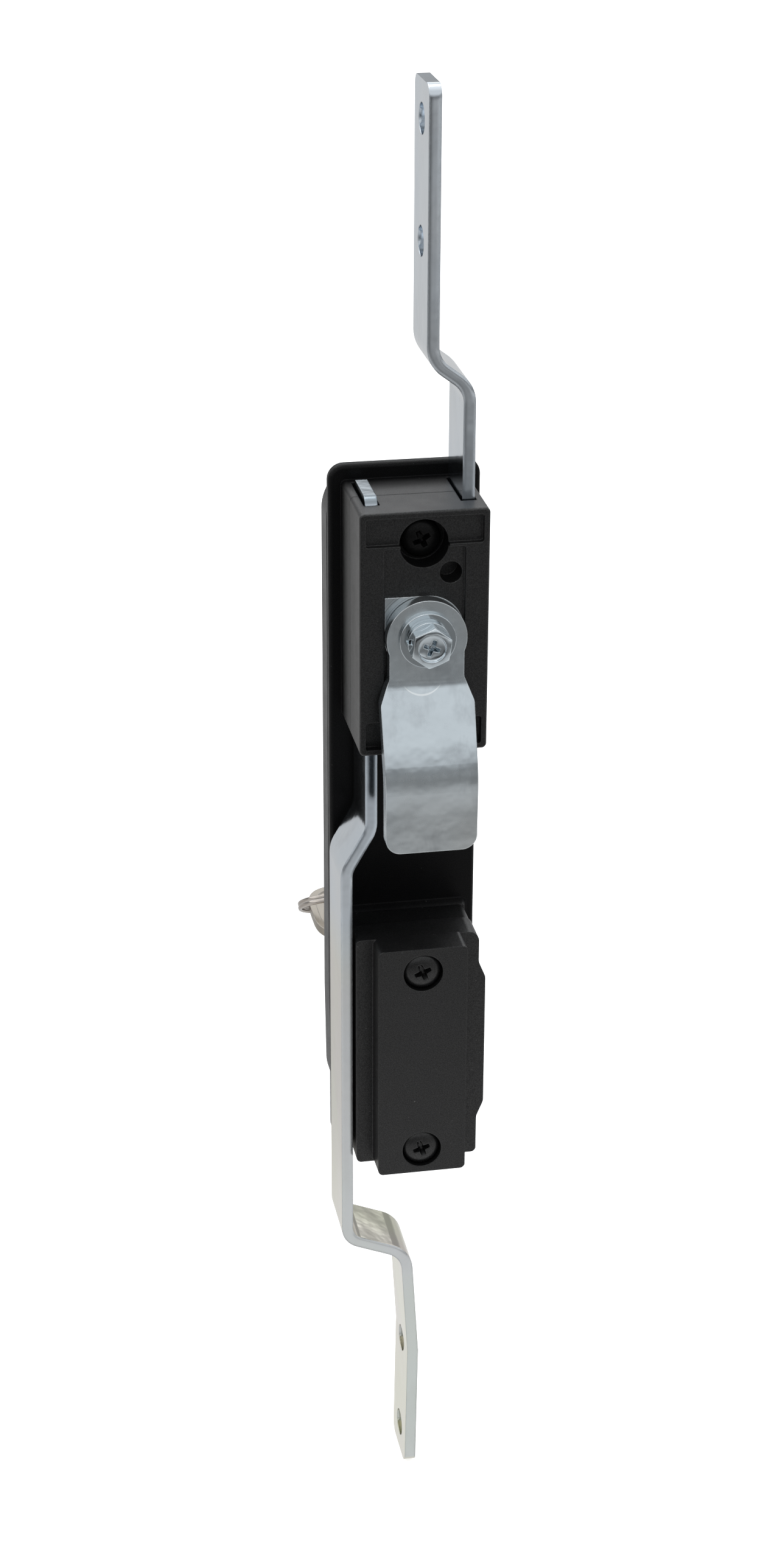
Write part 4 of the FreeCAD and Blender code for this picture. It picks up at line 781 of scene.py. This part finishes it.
def make_split_ring():
    """Two turns of flat wire; the wire steps across just before it passes its own first end."""
    curve = bpy.data.curves.new("ring_path", "CURVE")
    curve.dimensions = "3D"
    curve.twist_mode = "Z_UP"
    spline = curve.splines.new("POLY")
    spline.points.add(RING_STEPS)
    first, last, start = math.radians(WIRE_FROM), math.radians(WIRE_TO), math.radians(WIRE_START)
    for step in range(RING_STEPS + 1):
        angle = first + (last - first) * step / RING_STEPS
        rise = min(max((angle - math.radians(CROSSING)) / math.radians(CROSSING_LENGTH), 0), 1)
        height = (rise * rise * (3 - 2 * rise) - 0.5) * RING_PITCH
        spline.points[step].co = (RING_RADIUS * MM * math.cos(angle + start),
                                  RING_RADIUS * MM * math.sin(angle + start), height * MM, 1)
    mesh = grown(link_object("ring_path", curve), wire_nodes(), {
        "Width": WIRE_WIDTH * MM, "Height": WIRE_HEIGHT * MM, "Edge Radius": WIRE_EDGE * MM,
        "Finish": RING_NICKEL})
    mesh.name = "split_ring"
    tilt = Matrix.Rotation(math.radians(RING_TILT), 4, "X")
    mesh.transform(Matrix.Translation((RING_RADIUS * MM, KEY_EYE * MM, KEY_HEIGHT * MM)) @ tilt)
    wear(mesh, RING_NICKEL, 40)
    piece = link_object("split_ring", mesh)
    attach(piece, "ring")
    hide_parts("key_ring")


make_split_ring()


# Floor and light

FLOOR_SIZE, FLOOR_GAP, FLOOR_GLOW = 12.0, 0.0005, 0.55
# How bright the floor is in reflections, as (y, brightness); beyond UNEVEN_Y this is also
# multiplied by a gain that changes across the floor
MIRRORED_FLOOR = [(-0.90, 0.7), (-0.50, 0.68), (-0.20, 0.64), (-0.05, 0.87), (0.07, 0.87), (0.21, 0.70),
                  (0.35, 0.56), (0.46, 0.34), (0.56, 0.23), (0.75, 0.23), (0.90, 0.28), (1.30, 0.36),
                  (1.70, 0.34), (2.30, 0.12), (3.00, 0.08)]
UNEVEN_Y = (0.65, 0.85)
ACROSS_X, ACROSS_GAIN = (-1.00, 0.35), (2.6, 0.3)
# How bright the world is to the lock, as (z of the direction, brightness): beyond the lock
# and on the camera's side, which blend over BLEND_Y
WORLD_BEYOND = [(-0.2, 0.36), (0.05, 0.4), (0.17, 0.4), (0.29, 0.42), (0.36, 2.1), (0.45, 1.6), (0.6, 1.3),
                (1.0, 1.2)]
WORLD_NEAR = [(-0.2, 0.1), (0.0, 0.14), (0.06, 0.35), (0.12, 0.75), (0.2, 0.98), (0.4, 0.95), (0.6, 0.9),
              (1.0, 1.4)]
BLEND_Y = (-0.25, 0.25)
LAMP_TARGET = (0, 0.01, 0)


def pick_brightness(tree, where, steps):
    """A brightness that follows a value through (value, brightness) steps."""
    low, high = steps[0][0], steps[-1][0]
    curve = tree.nodes.new("ShaderNodeFloatCurve")
    top = max(level for _, level in steps)
    points = curve.mapping.curves[0].points
    for place, level in steps[1:-1]:
        points.new((place - low) / (high - low), level / top)
    points[0].location = (0, steps[0][1] / top)
    points[-1].location = (1, steps[-1][1] / top)
    curve.mapping.update()
    tree.links.new(ramp(tree, where, low, high), curve.inputs["Value"])
    return math_node(tree, "MULTIPLY", curve.outputs[0], top)


def choose_shader(tree, factor, first, second):
    """The first shader where the factor is 0, the second where it is 1."""
    node = tree.nodes.new("ShaderNodeMixShader")
    join(tree, (factor, node.inputs[0]), (first, node.inputs[1]), (second, node.inputs[2]))
    return node.outputs[0]


def make_floor():
    """A pale floor under the rods: white to the camera apart from the shadow, and in
    reflections bright under the lock and beyond it and dim on the camera's side."""
    lowest = CAD_BOX[0][2] - FLOOR_GAP
    mesh = bpy.data.meshes.new("floor")
    corners = [(x * FLOOR_SIZE, y * FLOOR_SIZE, lowest) for x, y in ((-1, -1), (1, -1), (1, 1), (-1, 1))]
    mesh.from_pydata(corners, [], [(0, 1, 2, 3)])
    floor = link_object("floor", mesh)
    material, tree, shader, place = new_material("pale_floor")
    shader.inputs["Base Color"].default_value = (0.8, 0.8, 0.8, 1)
    shader.inputs["Roughness"].default_value = 0.9
    shader.inputs["Specular IOR Level"].default_value = 0.1
    depth = coordinate(tree, place, "Y")
    level = pick_brightness(tree, depth, MIRRORED_FLOOR)
    across = ramp(tree, coordinate(tree, place, "X"), *ACROSS_X, *ACROSS_GAIN)
    uneven = math_node(tree, "MULTIPLY", math_node(tree, "SUBTRACT", across, 1.0),
                       ramp(tree, depth, *UNEVEN_Y))
    level = math_node(tree, "MULTIPLY", level, math_node(tree, "ADD", uneven, 1.0))
    mirrored = tree.nodes.new("ShaderNodeEmission")
    glow = add(tree, "ShaderNodeEmission", Strength=FLOOR_GLOW)
    lit = tree.nodes.new("ShaderNodeAddShader")
    join(tree, (level, mirrored.inputs["Strength"]), (shader.outputs[0], lit.inputs[0]),
         (glow.outputs[0], lit.inputs[1]))
    path = tree.nodes.new("ShaderNodeLightPath")
    seen = choose_shader(tree, path.outputs["Is Camera Ray"], shader.outputs[0], lit.outputs[0])
    surface = choose_shader(tree, path.outputs["Is Glossy Ray"], seen, mirrored.outputs[0])
    tree.links.new(surface, tree.nodes["Material Output"].inputs["Surface"])
    floor.data.materials.append(material)


def make_world():
    """White to the camera; for the lock a studio that is bright above, mid-grey beyond it and
    dark low down on the camera's side."""
    world = bpy.data.worlds.new("studio")
    bpy.context.scene.world = world
    world.use_nodes = True
    tree = world.node_tree
    studio = tree.nodes["Background"]
    direction = tree.nodes.new("ShaderNodeTexCoord").outputs["Generated"]
    height = coordinate(tree, direction, "Z")
    beyond = pick_brightness(tree, height, WORLD_BEYOND)
    near = pick_brightness(tree, height, WORLD_NEAR)
    side = ramp(tree, coordinate(tree, direction, "Y"), *BLEND_Y)
    rest = math_node(tree, "MULTIPLY", math_node(tree, "SUBTRACT", 1.0, side), beyond)
    strength = math_node(tree, "ADD", math_node(tree, "MULTIPLY", side, near), rest)
    tree.links.new(strength, studio.inputs["Strength"])
    studio.inputs["Color"].default_value = (0.97, 0.985, 1.0, 1)
    white = add(tree, "ShaderNodeBackground", Color=(1, 1, 1, 1), Strength=1.0)
    path = tree.nodes.new("ShaderNodeLightPath").outputs
    seen = math_node(tree, "MAXIMUM", path["Is Camera Ray"], path["Is Transmission Ray"])
    tree.links.new(choose_shader(tree, seen, studio.outputs[0], white.outputs[0]),
                   tree.nodes["World Output"].inputs[0])


def soft_lamp(name, place, size, watts):
    """A softbox that looks at the middle of the lock and isn't seen itself."""
    data = bpy.data.lights.new(name, "AREA")
    data.shape = "RECTANGLE"
    data.size, data.size_y = size
    data.energy = watts
    lamp = link_object(name, data)
    place = Vector(place)
    aim = Vector(LAMP_TARGET) - place
    lamp.matrix_world = Matrix.Translation(place) @ aim.to_track_quat("-Z", "Y").to_matrix().to_4x4()
    lamp.visible_camera = False


make_floor()
make_world()
soft_lamp("top_softbox", place=(0.2, -0.25, 1.1), size=(0.9, 0.9), watts=4.0)
soft_lamp("left_softbox", place=(1.1, 0.0, 0.35), size=(0.7, 1.2), watts=0.8)

bpy.context.scene.view_settings.view_transform = "Standard"
